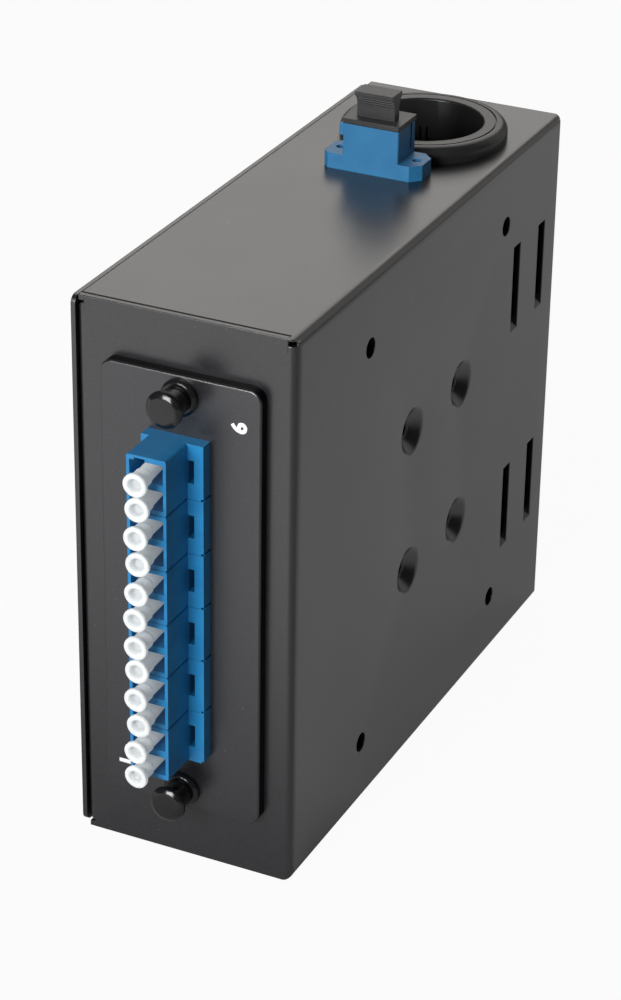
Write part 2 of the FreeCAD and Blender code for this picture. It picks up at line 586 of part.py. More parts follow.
def cut_slot(body, column, row):
    """One upright slot, with the sheet at its lower end bent inward as a short ramp."""
    y = f"({REAR} - slot_rear_distance - {1 - column} * slot_spacing_y)"
    z = f"slot_upper_z - {row} * slot_spacing_z"
    slot = sketch_on(body, f"Slot{column}{row}", "YZ_Plane", x=f"{RIGHT} - sheet_thickness", y=y, z=z)
    draw_box(slot, "-slot_width / 2", "-slot_length / 2", "slot_width / 2", "slot_length / 2")
    cut(body, slot, "sheet_thickness")
    ramp = sketch_on(body, f"Ramp{column}{row}", "XZ_Plane", x=RIGHT, y=f"{y} - slot_width / 2",
                     z=f"{z} - slot_length / 2")
    draw_polygon(ramp, [("0", "0"), ("-slot_ramp_drop", "slot_ramp_length"),
                        ("-slot_ramp_drop - sheet_thickness", "slot_ramp_length"), ("-sheet_thickness", "0")])
    add(body, ramp, "slot_width")


def open_front(body):
    """Window behind the adapter plate and the two holes that the plungers latch in."""
    half = f"(adapter_count * adapter_pitch / 2 + window_end_clearance)"
    window = sketch_on(body, "FrontWindow", "XZ_Plane", y=FRONT)
    draw_box(window, "plate_centre_x - plate_width / 2 + window_side_land", f"{COLUMN_Z} - {half}",
             "plate_centre_x + plate_width / 2 - window_side_land", f"{COLUMN_Z} + {half}")
    for way in (-1, 1):
        draw_circle(window, PLUNGER_X, f"plate_centre_z + {way} * plunger_spacing / 2",
                    "bush_barrel_diameter + 2 * latch_hole_clearance")
    cut(body, window, "sheet_thickness")


def open_top(body):
    """Cut-outs for the multi-fibre adapter and the cable bushing."""
    cutouts = sketch_on(body, "TopCutouts", "XY_Plane", z=PANEL_INSIDE)
    width = f"({TOP_BODY_WIDTH} / 2 - top_inner_slack + top_cutout_clearance)"
    depth = "(top_adapter_depth / 2 - top_inner_slack + top_cutout_clearance)"
    draw_box(cutouts, f"top_adapter_x - {width}", f"{TOP_ADAPTER_Y} - {depth}", f"top_adapter_x + {width}",
             f"{TOP_ADAPTER_Y} + {depth}")
    draw_circle(cutouts, "bushing_x", BUSHING_Y, "bushing_barrel_diameter + 2 * bushing_hole_clearance")
    cut(body, cutouts, "sheet_thickness")


SCREW_PLACES = [(side, level) for side in (-1, 1) for level in (-1, 1)]
SCREW_HOLE = "(screw_diameter + 2 * screw_hole_clearance)"


def screw_y(side):
    """Where a cover screw lies front to rear."""
    return f"{side} * (housing_depth / 2 - screw_edge_distance)"


def screw_z(level):
    """Where a cover screw lies bottom to top."""
    return f"(housing_height / 2 + {level} * (housing_height / 2 - screw_end_distance))"


def drill_screw_holes(body, x, name, diameter):
    """Four holes along X, one for each cover screw."""
    holes = sketch_on(body, name, "YZ_Plane", x=x)
    for side, level in SCREW_PLACES:
        draw_circle(holes, screw_y(side), screw_z(level), diameter)
    return holes


def housing_shell():
    """The folded housing with all its holes."""
    body = new_body("housing_shell")
    fold_sheet(body)
    cut_seams(body)
    bend_flanges(body)
    press_right_wall(body)
    open_front(body)
    open_top(body)
    holes = drill_screw_holes(body, COVER_INSIDE, "FlangeHoles", SCREW_HOLE)
    cut(body, holes, "sheet_thickness")
    return finished(body)


# Side cover and its screws

COUNTERSINK = "((screw_head_diameter - screw_diameter) / 2)"


def side_cover():
    """A flat plate over the open left side, countersunk for its four screws."""
    body = new_body("side_cover")
    plate = sketch_on(body, "CoverOutline", "YZ_Plane", x=LEFT)
    draw_rounded_box(plate, FRONT, "cover_inset", REAR, "housing_height - cover_inset", "cover_corner_radius")
    add(body, plate, "cover_thickness")
    holes = drill_screw_holes(body, LEFT, "CoverHoles", SCREW_HOLE)
    cut(body, holes, "cover_thickness")
    soften(body, "CoverCountersinks", "Chamfer", COUNTERSINK,
           lambda edge: flat_in(edge, "X", LEFT) and ring_edge(edge, SCREW_HOLE))
    return finished(body)


def cover_screw(index, side, level):
    """One countersunk screw with a cross recess, its head flush with the cover."""
    body = new_body(f"cover_screw_{index}")
    profile = sketch_on(body, f"ScrewProfile{index}", "XY_Plane")
    head, shank = "screw_head_diameter / 2", "screw_diameter / 2"
    draw_polygon(profile, [("0", "0"), ("0", head), (COUNTERSINK, shank),
                           ("screw_length - screw_tip_bevel", shank),
                           ("screw_length", f"{shank} - screw_tip_bevel"), ("screw_length", "0")])
    turn(body, profile, "H_Axis")
    cross = sketch_on(body, f"ScrewDrive{index}", "YZ_Plane")
    arm, tip = "screw_drive_width / 2", "screw_drive_span / 2"
    draw_polygon(cross, [(f"-{tip}", f"-{arm}"), (f"-{arm}", f"-{arm}"), (f"-{arm}", f"-{tip}"),
                         (arm, f"-{tip}"), (arm, f"-{arm}"), (tip, f"-{arm}"), (tip, arm), (arm, arm),
                         (arm, tip), (f"-{arm}", tip), (f"-{arm}", arm), (f"-{tip}", arm)])
    cut(body, cross, "screw_drive_depth")
    put(body, LEFT, screw_y(side), screw_z(level))
    return body


def group_of(name, members):
    """Identical solids that share one node."""
    group = document.addObject("Part::Compound", name)
    group.Label = name
    group.Links = members
    return finished(group)


# Adapter plate

def adapter_z(index):
    """Height of an adapter's middle, counted from the top of the column."""
    return f"({COLUMN_Z} + ((adapter_count - 1) / 2 - {index}) * adapter_pitch)"


def plunger_z(way):
    """Height of a plunger's middle."""
    return f"(plate_centre_z + {way} * plunger_spacing / 2)"


def adapter_plate(count):
    """The removable plate that carries the adapters and the plungers."""
    body = new_body("adapter_plate")
    outline = sketch_on(body, "PlateOutline", "XZ_Plane", x="plate_centre_x", y=PLATE_FACE, z="plate_centre_z")
    draw_rounded_box(outline, "-plate_width / 2", "-plate_height / 2", "plate_width / 2", "plate_height / 2",
                     "plate_corner_radius")
    add(body, outline, "plate_thickness")
    soften(body, "PlateEdge", "Fillet", "plate_edge_radius", lambda edge: flat_in(edge, "Y", PLATE_FACE))
    openings = sketch_on(body, "PlateCutouts", "XZ_Plane", y=PLATE_FACE)
    half_width = "(adapter_body_width / 2 + cutout_clearance)"
    half_height = "(adapter_rear_height / 2 + cutout_clearance)"
    for index in range(count):
        draw_box(openings, f"{BODY_X} - {half_width}", f"{adapter_z(index)} - {half_height}",
                 f"{BODY_X} + {half_width}", f"{adapter_z(index)} + {half_height}")
    for way in (-1, 1):
        draw_circle(openings, PLUNGER_X, plunger_z(way), "bush_barrel_diameter + 2 * bush_hole_clearance")
    cut(body, openings, "plate_thickness")
    return finished(body)


# Duplex adapters, their sleeves and their clips

def duplex_adapter(number):
    """A moulded adapter: front and rear bodies, a flange with a slotted ear and two pairs of sockets."""
    body = new_body(f"duplex_adapter_{number}")
    tag = str(number)
    height = "(adapter_pitch - adapter_seam)"
    flange_y = f"({PLATE_FACE} - adapter_flange_thickness)"
    flange = sketch_on(body, "Flange" + tag, "XZ_Plane", x=COLUMN_X, y=flange_y)
    side, top = "adapter_flange_width / 2", f"{height} / 2"
    inner, low = f"({side} - seam_notch_width)", f"({top} - seam_notch_height)"
    draw_polygon(flange, [(f"-{inner}", f"-{top}"), (inner, f"-{top}"), (inner, f"-{low}"),
                          (side, f"-{low}"), (side, top), (f"-({side})", top), (f"-({side})", f"-{low}"),
                          (f"-{inner}", f"-{low}")])
    add(body, flange, "adapter_flange_thickness")
    front = sketch_on(body, "FrontBody" + tag, "XZ_Plane", x=BODY_X, y=ADAPTER_END)
    draw_rounded_box(front, "-adapter_body_width / 2", f"-{height} / 2", "adapter_body_width / 2",
                     f"{height} / 2", "adapter_edge_radius")
    add(body, front, "adapter_front_length")
    rear = sketch_on(body, "RearBody" + tag, "XZ_Plane", x=BODY_X, y=PLATE_FACE)
    draw_rounded_box(rear, "-adapter_body_width / 2", "-adapter_rear_height / 2", "adapter_body_width / 2",
                     "adapter_rear_height / 2", "adapter_edge_radius")
    add(body, rear, "adapter_rear_length")
    ear = sketch_on(body, "EarSlot" + tag, "XZ_Plane", x=f"{COLUMN_X} + ear_slot_distance", y=flange_y)
    draw_box(ear, "-ear_slot_width / 2", "-ear_slot_height / 2", "ear_slot_width / 2", "ear_slot_height / 2")
    cut(body, ear, "adapter_flange_thickness")
    rear_start = f"{PLATE_FACE} + adapter_rear_length - {PORT_DEPTH}"
    for name, y in (("FrontPorts", ADAPTER_END), ("RearPorts", rear_start)):
        ports = sketch_on(body, name + tag, "XZ_Plane", x=BODY_X, y=y)
        for way in (-1, 1):
            draw_port(ports, f"{way} * port_pitch / 2")
        cut(body, ports, PORT_DEPTH)
    add_holders(body, tag)
    put(body, z=adapter_z(number - 1))
    return finished(body)


def draw_port(sketch, level):
    """A socket's outline: a rectangle with a keyway over its left part."""
    side, top = "port_width / 2", f"({level} + port_height / 2)"
    key = f"({top} + port_key_height)"
    start, end = "(-port_key_shift - port_key_width / 2)", "(-port_key_shift + port_key_width / 2)"
    draw_polygon(sketch, [(f"-{side}", f"{level} - port_height / 2"), (side, f"{level} - port_height / 2"),
                          (side, top), (end, top), (end, key), (start, key), (start, top), (f"-{side}", top)])


def add_holders(body, tag):
    """The tubes through the partition that hold the sleeves."""
    front = f"({ADAPTER_END} + {PORT_DEPTH} - holder_reach)"
    length = "(partition_thickness + 2 * holder_reach)"
    tubes = sketch_on(body, "Holders" + tag, "XZ_Plane", x=BODY_X, y=front)
    lips = sketch_on(body, "HolderLips" + tag, "XZ_Plane", x=BODY_X, y=front)
    bores = sketch_on(body, "HolderBores" + tag, "XZ_Plane", x=BODY_X, y=f"{front} + holder_lip_length")
    for way in (-1, 1):
        level = f"{way} * port_pitch / 2"
        draw_circle(tubes, "0", level, "holder_diameter")
        draw_circle(lips, "0", level, "holder_lip_diameter")
        draw_circle(bores, "0", level, f"2 * {SLEEVE_BORE}")
    add(body, tubes, length)
    cut(body, lips, "holder_lip_length")
    cut(body, bores, f"{length} - holder_lip_length")


def alignment_sleeve(number, way):
    """A split ceramic tube, seated against the lip of its holder."""
    body = new_body(f"sleeve_{number}_{'lower' if way < 0 else 'upper'}")
    tag = f"{number}{'L' if way < 0 else 'U'}"
    ring = sketch_on(body, "SleeveRing" + tag, "XZ_Plane")
    draw_circle(ring, "0", "0", "sleeve_diameter")
    draw_circle(ring, "0", "0", "sleeve_bore")
    add(body, ring, "sleeve_length")
    slit = sketch_on(body, "SleeveSlit" + tag, "XZ_Plane")
    draw_box(slit, "-sleeve_slit / 2", "0", "sleeve_slit / 2", "sleeve_diameter")
    cut(body, slit, "sleeve_length")
    put(body, BODY_X, f"{ADAPTER_END} + {PORT_DEPTH} - holder_reach + holder_lip_length",
        f"{adapter_z(number - 1)} + {way} * port_pitch / 2")
    return body


def adapter_clip(number):
    """A spring strip over the rear body, with feet turned out on the back of the plate."""
    body = new_body(f"adapter_clip_{number}")
    tag = str(number)
    inner_x = "(adapter_body_width / 2 + clip_clearance)"
    outer_x = f"({inner_x} + clip_thickness)"
    inner_z = "(adapter_rear_height / 2 + clip_clearance)"
    foot = "(-adapter_rear_height / 2 + clip_leg_drop)"
    start = f"({FRONT} + clip_clearance)"
    strip = sketch_on(body, "ClipStrip" + tag, "XZ_Plane", x=BODY_X, y=start)
    outer_z = f"({inner_z} + clip_thickness)"
    draw_polygon(strip, [(f"-{outer_x}", foot), (f"-{inner_x}", foot), (f"-{inner_x}", inner_z),
                         (inner_x, inner_z), (inner_x, foot), (outer_x, foot), (outer_x, outer_z),
                         (f"-{outer_x}", outer_z)])
    add(body, strip, "clip_depth")
    feet = sketch_on(body, "ClipFeet" + tag, "XZ_Plane", x=BODY_X, y=start)
    for side in (-1, 1):
        draw_box(feet, f"{side} * {outer_x}", "-adapter_rear_height / 4",
                 f"{side} * ({outer_x} + clip_foot_reach)", "adapter_rear_height / 4")
    add(body, feet, "clip_thickness")
    put(body, z=adapter_z(number - 1))
    return finished(body)


# Dust caps of the duplex adapters. Each leans its own way in its socket:
# degrees down and degrees to the right, from the top of the column.

CAP_LEANS = [(4.2, 1.3), (0.9, 4.0), (0.8, 0.9), (0.2, 4.0), (2.9, 0.9), (4.2, -1.7),
             (3.6, -1.2), (0.5, 0.5), (2.7, -2.2), (3.9, 2.1), (4.8, -3.5), (5.2, -3.6)]


def dust_cap(number):
    """A soft plug: an open tube in the socket and a flared, dished end outside."""
    body = new_body(f"dust_cap_{number}")
    profile = sketch_on(body, f"CapProfile{number}", "XY_Plane")
    ring, tube, plug = "cap_ring_diameter / 2", "cap_tube_diameter / 2", "cap_plug_diameter / 2"
    bore, dish = "cap_bore_diameter / 2", "cap_dish_diameter / 2"
    front, step = "-(cap_reach + cap_insertion / 2)", "-(cap_step_gap + cap_insertion / 2)"
    end = "cap_insertion / 2"
    floor = f"({front} + cap_dish_depth)"
    web, back = f"({floor} + cap_web_thickness)", f"({front} + cap_ring_thickness)"
    draw_polygon(profile, [("0", floor), ("cap_dish_floor_diameter / 2", floor), (dish, front),
                           (f"{ring} - cap_edge_bevel", front), (ring, f"{front} + cap_edge_bevel"),
                           (ring, f"{back} - cap_edge_bevel"), (f"{ring} - cap_edge_bevel", back), (tube, back),
                           (tube, step), (plug, step), (plug, end), (bore, end), (bore, web), ("0", web)])
    turn(body, profile, "V_Axis")
    down, right = CAP_LEANS[number - 1]
    tip_down = FreeCAD.Rotation(FreeCAD.Vector(1, 0, 0), down)
    turn_right = FreeCAD.Rotation(FreeCAD.Vector(0, 0, 1), right)
    body.Placement = FreeCAD.Placement(FreeCAD.Vector(0, 0, 0), tip_down.multiply(turn_right))
    way = 1 if number % 2 else -1
    put(body, BODY_X, f"{ADAPTER_END} + cap_insertion / 2",
        f"{adapter_z((number - 1) // 2)} + {way} * port_pitch / 2 - cap_drop")
    return finished(body)


# Push-pull plungers

def plunger_bush(name, way):
    """A split nylon bush: a collar on the plate and a barrel of four fingers through the front panel."""
    body = new_body(name)
    profile = sketch_on(body, name + "_profile", "XY_Plane")
    collar, barrel = "bush_collar_diameter / 2", "bush_barrel_diameter / 2"
    bore = "(pin_diameter / 2 + pin_clearance)"
    draw_polygon(profile, [(bore, "-bush_collar_thickness"),
                           (f"{collar} - bush_collar_bevel", "-bush_collar_thickness"),
                           (collar, "-bush_collar_thickness + bush_collar_bevel"), (collar, "0"), (barrel, "0"),
                           (barrel, "bush_barrel_length - bush_tip_length"),
                           (f"{barrel} - bush_tip_taper", "bush_barrel_length"), (bore, "bush_barrel_length")])
    turn(body, profile, "V_Axis")
    slits = sketch_on(body, name + "_slits", "XZ_Plane", y="bush_barrel_length - bush_slit_length")
    arm, reach = "bush_slit_width / 2", "bush_barrel_diameter"
    draw_polygon(slits, [(f"-{reach}", f"-{arm}"), (f"-{arm}", f"-{arm}"), (f"-{arm}", f"-{reach}"),
                         (arm, f"-{reach}"), (arm, f"-{arm}"), (reach, f"-{arm}"), (reach, arm), (arm, arm),
                         (arm, reach), (f"-{arm}", reach), (f"-{arm}", arm), (f"-{reach}", arm)])
    cut(body, slits, "bush_slit_length")
    put(body, PLUNGER_X, PLATE_FACE, plunger_z(way))
    return finished(body)


def plunger_pin(name, way):
    """The sliding pin: a bevelled head, a neck and a round-ended shank."""
    body = new_body(name)
    profile = sketch_on(body, name + "_profile", "XY_Plane")
    head, neck, shank = "pin_head_diameter / 2", "pin_neck_diameter / 2", "pin_diameter / 2"
    seat = "(-bush_collar_thickness - pin_seat_gap)"
    under = f"({seat} - pin_neck_length)"
    front = f"({under} - pin_head_thickness)"
    end = f"({seat} + pin_length)"
    draw_polygon(profile, [("0", front), (f"{head} - pin_head_bevel", front),
                           (head, f"{front} + pin_head_bevel_depth"), (head, f"{under} - pin_back_bevel"),
                           (f"{head} - pin_back_bevel", under), (neck, under), (neck, seat), (shank, seat),
                           (shank, f"{end} - pin_tip_bevel"), (f"{shank} - pin_tip_bevel", end), ("0", end)])
    turn(body, profile, "V_Axis")
    put(body, PLUNGER_X, PLATE_FACE, plunger_z(way))
    return finished(body)


# Multi-fibre adapter in the top, its clip and its dust cap

TOP_HALF_FLANGE = "(top_flange_thickness / 2)"


def draw_top_flange(sketch):
    """The flange's outline: a bar with cut corners, the smallest at its front left."""
    side, back, cutoff = "top_flange_length / 2", "top_adapter_depth / 2", "top_flange_chamfer"
    small = "top_flange_small_chamfer"
    draw_polygon(sketch, [(f"-{side} + {small}", f"-{back}"), (f"{side} - {cutoff}", f"-{back}"),
                          (side, f"-{back} + {cutoff}"), (side, f"{back} - {cutoff}"),
                          (f"{side} - {cutoff}", back), (f"-{side} + {cutoff}", back),
                          (f"-{side}", f"{back} - {cutoff}"), (f"-{side}", f"-{back} + {small}")])


def top_half(name, base, body_start, body_end, slack, port_start):
    """One welded half: its share of the flange, the body, the socket and the fibre passage."""
    body = new_body(name)
    flange = sketch_on(body, name + "_flange", "XY_Plane", z=base)
    draw_top_flange(flange)
    add(body, flange, TOP_HALF_FLANGE)
    block = sketch_on(body, name + "_block", "XY_Plane", z=body_start)
    half_width, half_depth = f"({TOP_BODY_WIDTH} / 2 - {slack})", f"(top_adapter_depth / 2 - {slack})"
    draw_rounded_box(block, f"-{half_width}", f"-{half_depth}", half_width, half_depth, "top_edge_radius")
    add(body, block, f"{body_end} - ({body_start})")
    socket = sketch_on(body, name + "_socket", "XY_Plane", z=port_start)
    draw_rounded_box(socket, f"-{TOP_PORT_WIDTH} / 2", "-top_port_depth / 2", f"{TOP_PORT_WIDTH} / 2",
                     "top_port_depth / 2", "top_edge_radius")
    cut(body, socket, "top_port_reach")
    passage = sketch_on(body, name + "_passage", "XY_Plane", z="-top_inner_depth")
    half_passage = f"({TOP_PORT_WIDTH} / 2 - top_passage_step)"
    draw_box(passage, f"-{half_passage}", "-top_passage_depth / 2", half_passage, "top_passage_depth / 2")
    cut(body, passage, "top_inner_depth + top_body_height")
    holes = sketch_on(body, name + "_holes", "XY_Plane", z=base)
    hole_x = "(top_flange_length / 2 - top_hole_end_distance)"
    for side in (-1, 1):
        draw_circle(holes, f"{side} * {hole_x}", "0", "top_hole_diameter")
    cut(body, holes, TOP_HALF_FLANGE)
    put(body, "top_adapter_x", TOP_ADAPTER_Y, "housing_height")
    return body


def top_adapter_outer():
    """The half above: it shows a latch window on the left and an upright slot on the right."""
    body = top_half("top_adapter_outer", TOP_HALF_FLANGE, "top_flange_thickness", "top_body_height", "0",
                    "top_body_height - top_port_reach")
    window = sketch_on(body, "LatchWindow", "YZ_Plane", x=f"-{TOP_BODY_WIDTH} / 2")
    high = "(top_body_height - top_bridge_height)"
    draw_box(window, "-top_window_width / 2", f"{high} - top_window_height", "top_window_width / 2", high)
    cut(body, window, "top_port_wall")
    bridge = sketch_on(body, "LatchBridge", "YZ_Plane", x=f"-{TOP_BODY_WIDTH} / 2 - top_bridge_reach")
    draw_box(bridge, "-top_bridge_width / 2", high, "top_bridge_width / 2", "top_body_height - top_bridge_step")
    add(body, bridge, "top_bridge_reach")
    slot = sketch_on(body, "SideSlot", "YZ_Plane", x=f"{TOP_PORT_WIDTH} / 2", y="top_adapter_depth / 4")
    draw_box(slot, "-top_side_slot_width / 2", "top_body_height - top_side_slot_height",
             "top_side_slot_width / 2", "top_body_height")
    cut(body, slot, "top_port_wall")
    return finished(body)


def top_adapter_inner():
    """The half below: its body passes through the top panel."""
    body = top_half("top_adapter_inner", "0", "-top_inner_depth", "0", "top_inner_slack", "-top_inner_depth")
    return finished(body)


def top_adapter_clip():
    """A spring strip round three sides of the inner body, with feet under the top panel."""
    body = new_body("top_adapter_clip")
    inner_x = f"({TOP_BODY_WIDTH} / 2 - top_inner_slack + clip_clearance)"
    inner_y = "(top_adapter_depth / 2 - top_inner_slack + clip_clearance)"
    outer_x, outer_y = f"({inner_x} + top_clip_thickness)", f"({inner_y} + top_clip_thickness)"
    level = "(-sheet_thickness - clip_clearance - top_clip_height)"
    strip = sketch_on(body, "TopClipStrip", "XY_Plane", z=level)
    draw_polygon(strip, [(f"-{outer_x}", f"-{outer_y}"), (outer_x, f"-{outer_y}"), (outer_x, inner_y),
                         (inner_x, inner_y), (inner_x, f"-{inner_y}"), (f"-{inner_x}", f"-{inner_y}"),
                         (f"-{inner_x}", inner_y), (f"-{outer_x}", inner_y)])
    add(body, strip, "top_clip_height")
    foot_z = "(-sheet_thickness - clip_clearance - top_clip_thickness)"
    feet = sketch_on(body, "TopClipFeet", "XY_Plane", z=foot_z)
    for side in (-1, 1):
        draw_box(feet, f"{side} * {outer_x}", "-top_adapter_depth / 4",
                 f"{side} * ({outer_x} + top_clip_foot)", "top_adapter_depth / 4")
    add(body, feet, "top_clip_thickness")
    put(body, "top_adapter_x", TOP_ADAPTER_Y, "housing_height")
    return finished(body)


def top_dust_cap():
    """The cap: a hollow plug in the socket, a plate over the adapter and a waisted finger grip."""
    body = new_body("top_dust_cap")
    plate = sketch_on(body, "CapPlate", "XY_Plane", z="top_body_height + top_cap_rim")
    side, end = f"({TOP_BODY_WIDTH} / 2 + top_cap_overhang)", "(top_adapter_depth / 2 + top_cap_overhang)"
    draw_rounded_box(plate, f"-{side}", f"-{end}", side, end, "top_edge_radius")
    add(body, plate, "top_cap_thickness")
    plug = sketch_on(body, "CapPlug", "XY_Plane", z="top_body_height + top_cap_rim - top_plug_length")
    width, depth = f"({TOP_PORT_WIDTH} / 2 - top_plug_clearance)", "(top_port_depth / 2 - top_plug_clearance)"
    draw_box(plug, f"-{width}", f"-{depth}", width, depth)
    add(body, plug, "top_plug_length")
    hollow = sketch_on(body, "CapHollow", "XY_Plane", z="top_body_height + top_cap_rim - top_plug_length")
    draw_box(hollow, f"-{width} + top_plug_wall", f"-{depth} + top_plug_wall", f"{width} - top_plug_wall",
             f"{depth} - top_plug_wall")
    cut(body, hollow, "top_plug_length")
    base = "(top_body_height + top_cap_rim + top_cap_thickness)"
    foot = sketch_on(body, "GripFoot", "YZ_Plane", x="-grip_width / 2", y="grip_shift", z=base)
    draw_box(foot, "-grip_foot_depth / 2", "0", "grip_foot_depth / 2", "grip_foot_height")
    add(body, foot, "grip_width")
    grip = sketch_on(body, "Grip", "YZ_Plane", x="-grip_width / 2", y="grip_shift", z=base)
    draw_grip(grip)
    add(body, grip, "grip_width")
    ribs = sketch_on(body, "GripRibs", "YZ_Plane", x="-grip_width / 2", y="grip_shift", z=base)
    for face in (-1, 1):
        for rib in range(int(worth("grip_rib_count"))):
            level = f"({GRIP_SPAN} - grip_rib_start - {rib} * grip_rib_pitch)"
            draw_circle(ribs, f"{face} * {grip_half_depth(level)}", level, "grip_rib_diameter")
    add(body, ribs, "grip_width")
    put(body, "top_adapter_x", TOP_ADAPTER_Y, "housing_height")
    return finished(body)


# The hollow in a face of the grip is an arc from the foot to the lip, about a centre outside the face.
GRIP_SPAN = "(grip_height - grip_lip)"
GRIP_RISE = f"({GRIP_SPAN} - grip_foot_height)"
GRIP_SPREAD = "((grip_depth - grip_foot_depth) / 2)"
GRIP_CHORD = f"sqrt({GRIP_RISE} ^ 2 + {GRIP_SPREAD} ^ 2)"
GRIP_OUT = f"(sqrt(grip_hollow_radius ^ 2 - ({GRIP_CHORD}) ^ 2 / 4) / {GRIP_CHORD})"
GRIP_CENTRE_DEPTH = f"((grip_depth + grip_foot_depth) / 4 + {GRIP_OUT} * {GRIP_RISE})"
GRIP_CENTRE_LEVEL = f"(({GRIP_SPAN} + grip_foot_height) / 2 - {GRIP_OUT} * {GRIP_SPREAD})"


def grip_half_depth(level):
    """Half the grip's depth at a height in its hollow."""
    return f"({GRIP_CENTRE_DEPTH} - sqrt(grip_hollow_radius ^ 2 - ({level} - {GRIP_CENTRE_LEVEL}) ^ 2))"


def draw_grip(sketch):
    """The grip's profile: an upright lip at the top and a circular hollow in each face."""
    half, base, span = worth("grip_depth / 2"), worth("grip_foot_depth / 2"), worth(GRIP_SPAN)
    low, high, radius = worth("grip_foot_height"), worth("grip_height"), worth("grip_hollow_radius")
    depth, level = worth(GRIP_CENTRE_DEPTH), worth(GRIP_CENTRE_LEVEL)
    vector = FreeCAD.Vector
    start, end = math.atan2(span - level, half - depth), math.atan2(low - level, base - depth) + 2 * math.pi
    right = Part.Circle(vector(depth, level, 0), vector(0, 0, 1), radius)
    left = Part.Circle(vector(-depth, level, 0), vector(0, 0, 1), radius)
    sketch.addGeometry(Part.LineSegment(vector(-base, low, 0), vector(base, low, 0)))
    sketch.addGeometry(Part.ArcOfCircle(right, start, end))
    sketch.addGeometry(Part.LineSegment(vector(half, span, 0), vector(half, high, 0)))
    sketch.addGeometry(Part.LineSegment(vector(half, high, 0), vector(-half, high, 0)))
    sketch.addGeometry(Part.LineSegment(vector(-half, high, 0), vector(-half, span, 0)))
    sketch.addGeometry(Part.ArcOfCircle(left, math.pi - end, math.pi - start))
    joins = ((0, 2, 1, 2), (1, 1, 2, 1), (2, 2, 3, 1), (3, 2, 4, 1), (4, 2, 5, 2), (5, 1, 0, 1))
    for first, tip, second, root in joins:
        sketch.addConstraint(Sketcher.Constraint("Coincident", first, tip, second, root))
    fix_point(sketch, 0, 1, "-grip_foot_depth / 2", "grip_foot_height")
    fix_point(sketch, 0, 2, "grip_foot_depth / 2", "grip_foot_height")
    fix_point(sketch, 2, 1, "grip_depth / 2", GRIP_SPAN)
    fix_point(sketch, 2, 2, "grip_depth / 2", "grip_height")
    fix_point(sketch, 3, 2, "-grip_depth / 2", "grip_height")
    fix_point(sketch, 4, 2, "-grip_depth / 2", GRIP_SPAN)
    for arc in (1, 5):
        index = sketch.addConstraint(Sketcher.Constraint("Radius", arc, radius))
        sketch.setExpression(f"Constraints[{index}]", bound("grip_hollow_radius"))


# Cable bushing

def cable_bushing():
    """A snap bushing: a round-shouldered skirt on the top panel and a barrel of snap fingers below."""
    body = new_body("cable_bushing")
    profile = sketch_on(body, "BushingProfile", "XZ_Plane")
    bore, skirt, barrel = f"{BUSHING_BORE} / 2", "bushing_skirt_diameter / 2", "bushing_barrel_diameter / 2"
    draw_polygon(profile, [(bore, "-bushing_barrel_length"), (barrel, "-bushing_barrel_length"), (barrel, "0"),
                           (skirt, "0"), (skirt, "bushing_height"), (bore, "bushing_height")])
    turn(body, profile, "V_Axis")
    soften(body, "BushingMouth", "Fillet", "bushing_mouth_radius",
           lambda edge: flat_in(edge, "Z", "bushing_height") and ring_edge(edge, BUSHING_BORE))
    soften(body, "BushingShoulder", "Fillet", "bushing_shoulder_radius",
           lambda edge: flat_in(edge, "Z", "bushing_height") and ring_edge(edge, "bushing_skirt_diameter"))
    groove = sketch_on(body, "BushingGroove", "XY_Plane", z="bushing_height - bushing_groove_width")
    draw_circle(groove, "0", "0", "bushing_groove_diameter + bushing_groove_width")
    draw_circle(groove, "0", "0", "bushing_groove_diameter - bushing_groove_width")
    cut(body, groove, "bushing_groove_width")
    repeat_round(body, groove, [cut_finger_gap(body), cut_strip_slits(body), add_snap_lug(body)])
    body.Placement = FreeCAD.Placement(FreeCAD.Vector(0, 0, 0),
                                       FreeCAD.Rotation(FreeCAD.Vector(0, 0, 1), worth("bushing_turn")))
    put(body, "bushing_x", BUSHING_Y, "housing_height")
    return finished(body)


def cut_finger_gap(body):
    """A level slot inside the barrel, round one finger and short of the strips at its sides."""
    gap = sketch_on(body, "FingerGap", "XZ_Plane")
    low, high = "-bushing_gap_level - bushing_gap_height / 2", "-bushing_gap_level + bushing_gap_height / 2"
    draw_box(gap, f"{BUSHING_BORE} / 2 - bushing_slot_start", low, f"{BUSHING_BORE} / 2 + bushing_gap_depth", high)
    groove = turn(body, gap, "V_Axis", "Groove")
    strip = f"(bushing_strip_width + 2 * bushing_slit_width) / {BUSHING_BORE} * 2 * 180 / pi"
    groove.setExpression("Angle", bound(f"360 / bushing_finger_count - {strip}"))
    groove.Midplane = True
    return groove


def cut_strip_slits(body):
    """Two upright slits in the barrel, one each side of the strip between two fingers."""
    slits = sketch_on(body, "StripSlits", "XY_Plane", z="-bushing_barrel_length")
    between = FreeCAD.Rotation(FreeCAD.Vector(0, 0, 1), worth("180 / bushing_finger_count"))
    slits.AttachmentOffset = FreeCAD.Placement(slits.AttachmentOffset.Base, between)
    near, far = f"{BUSHING_BORE} / 2 - bushing_slot_start", f"{BUSHING_BORE} / 2 + bushing_gap_depth"
    for side in (-1, 1):
        draw_box(slits, near, f"{side} * bushing_strip_width / 2", far,
                 f"{side} * (bushing_strip_width / 2 + bushing_slit_width)")
    return cut(body, slits, "bushing_barrel_length - bushing_slit_level")


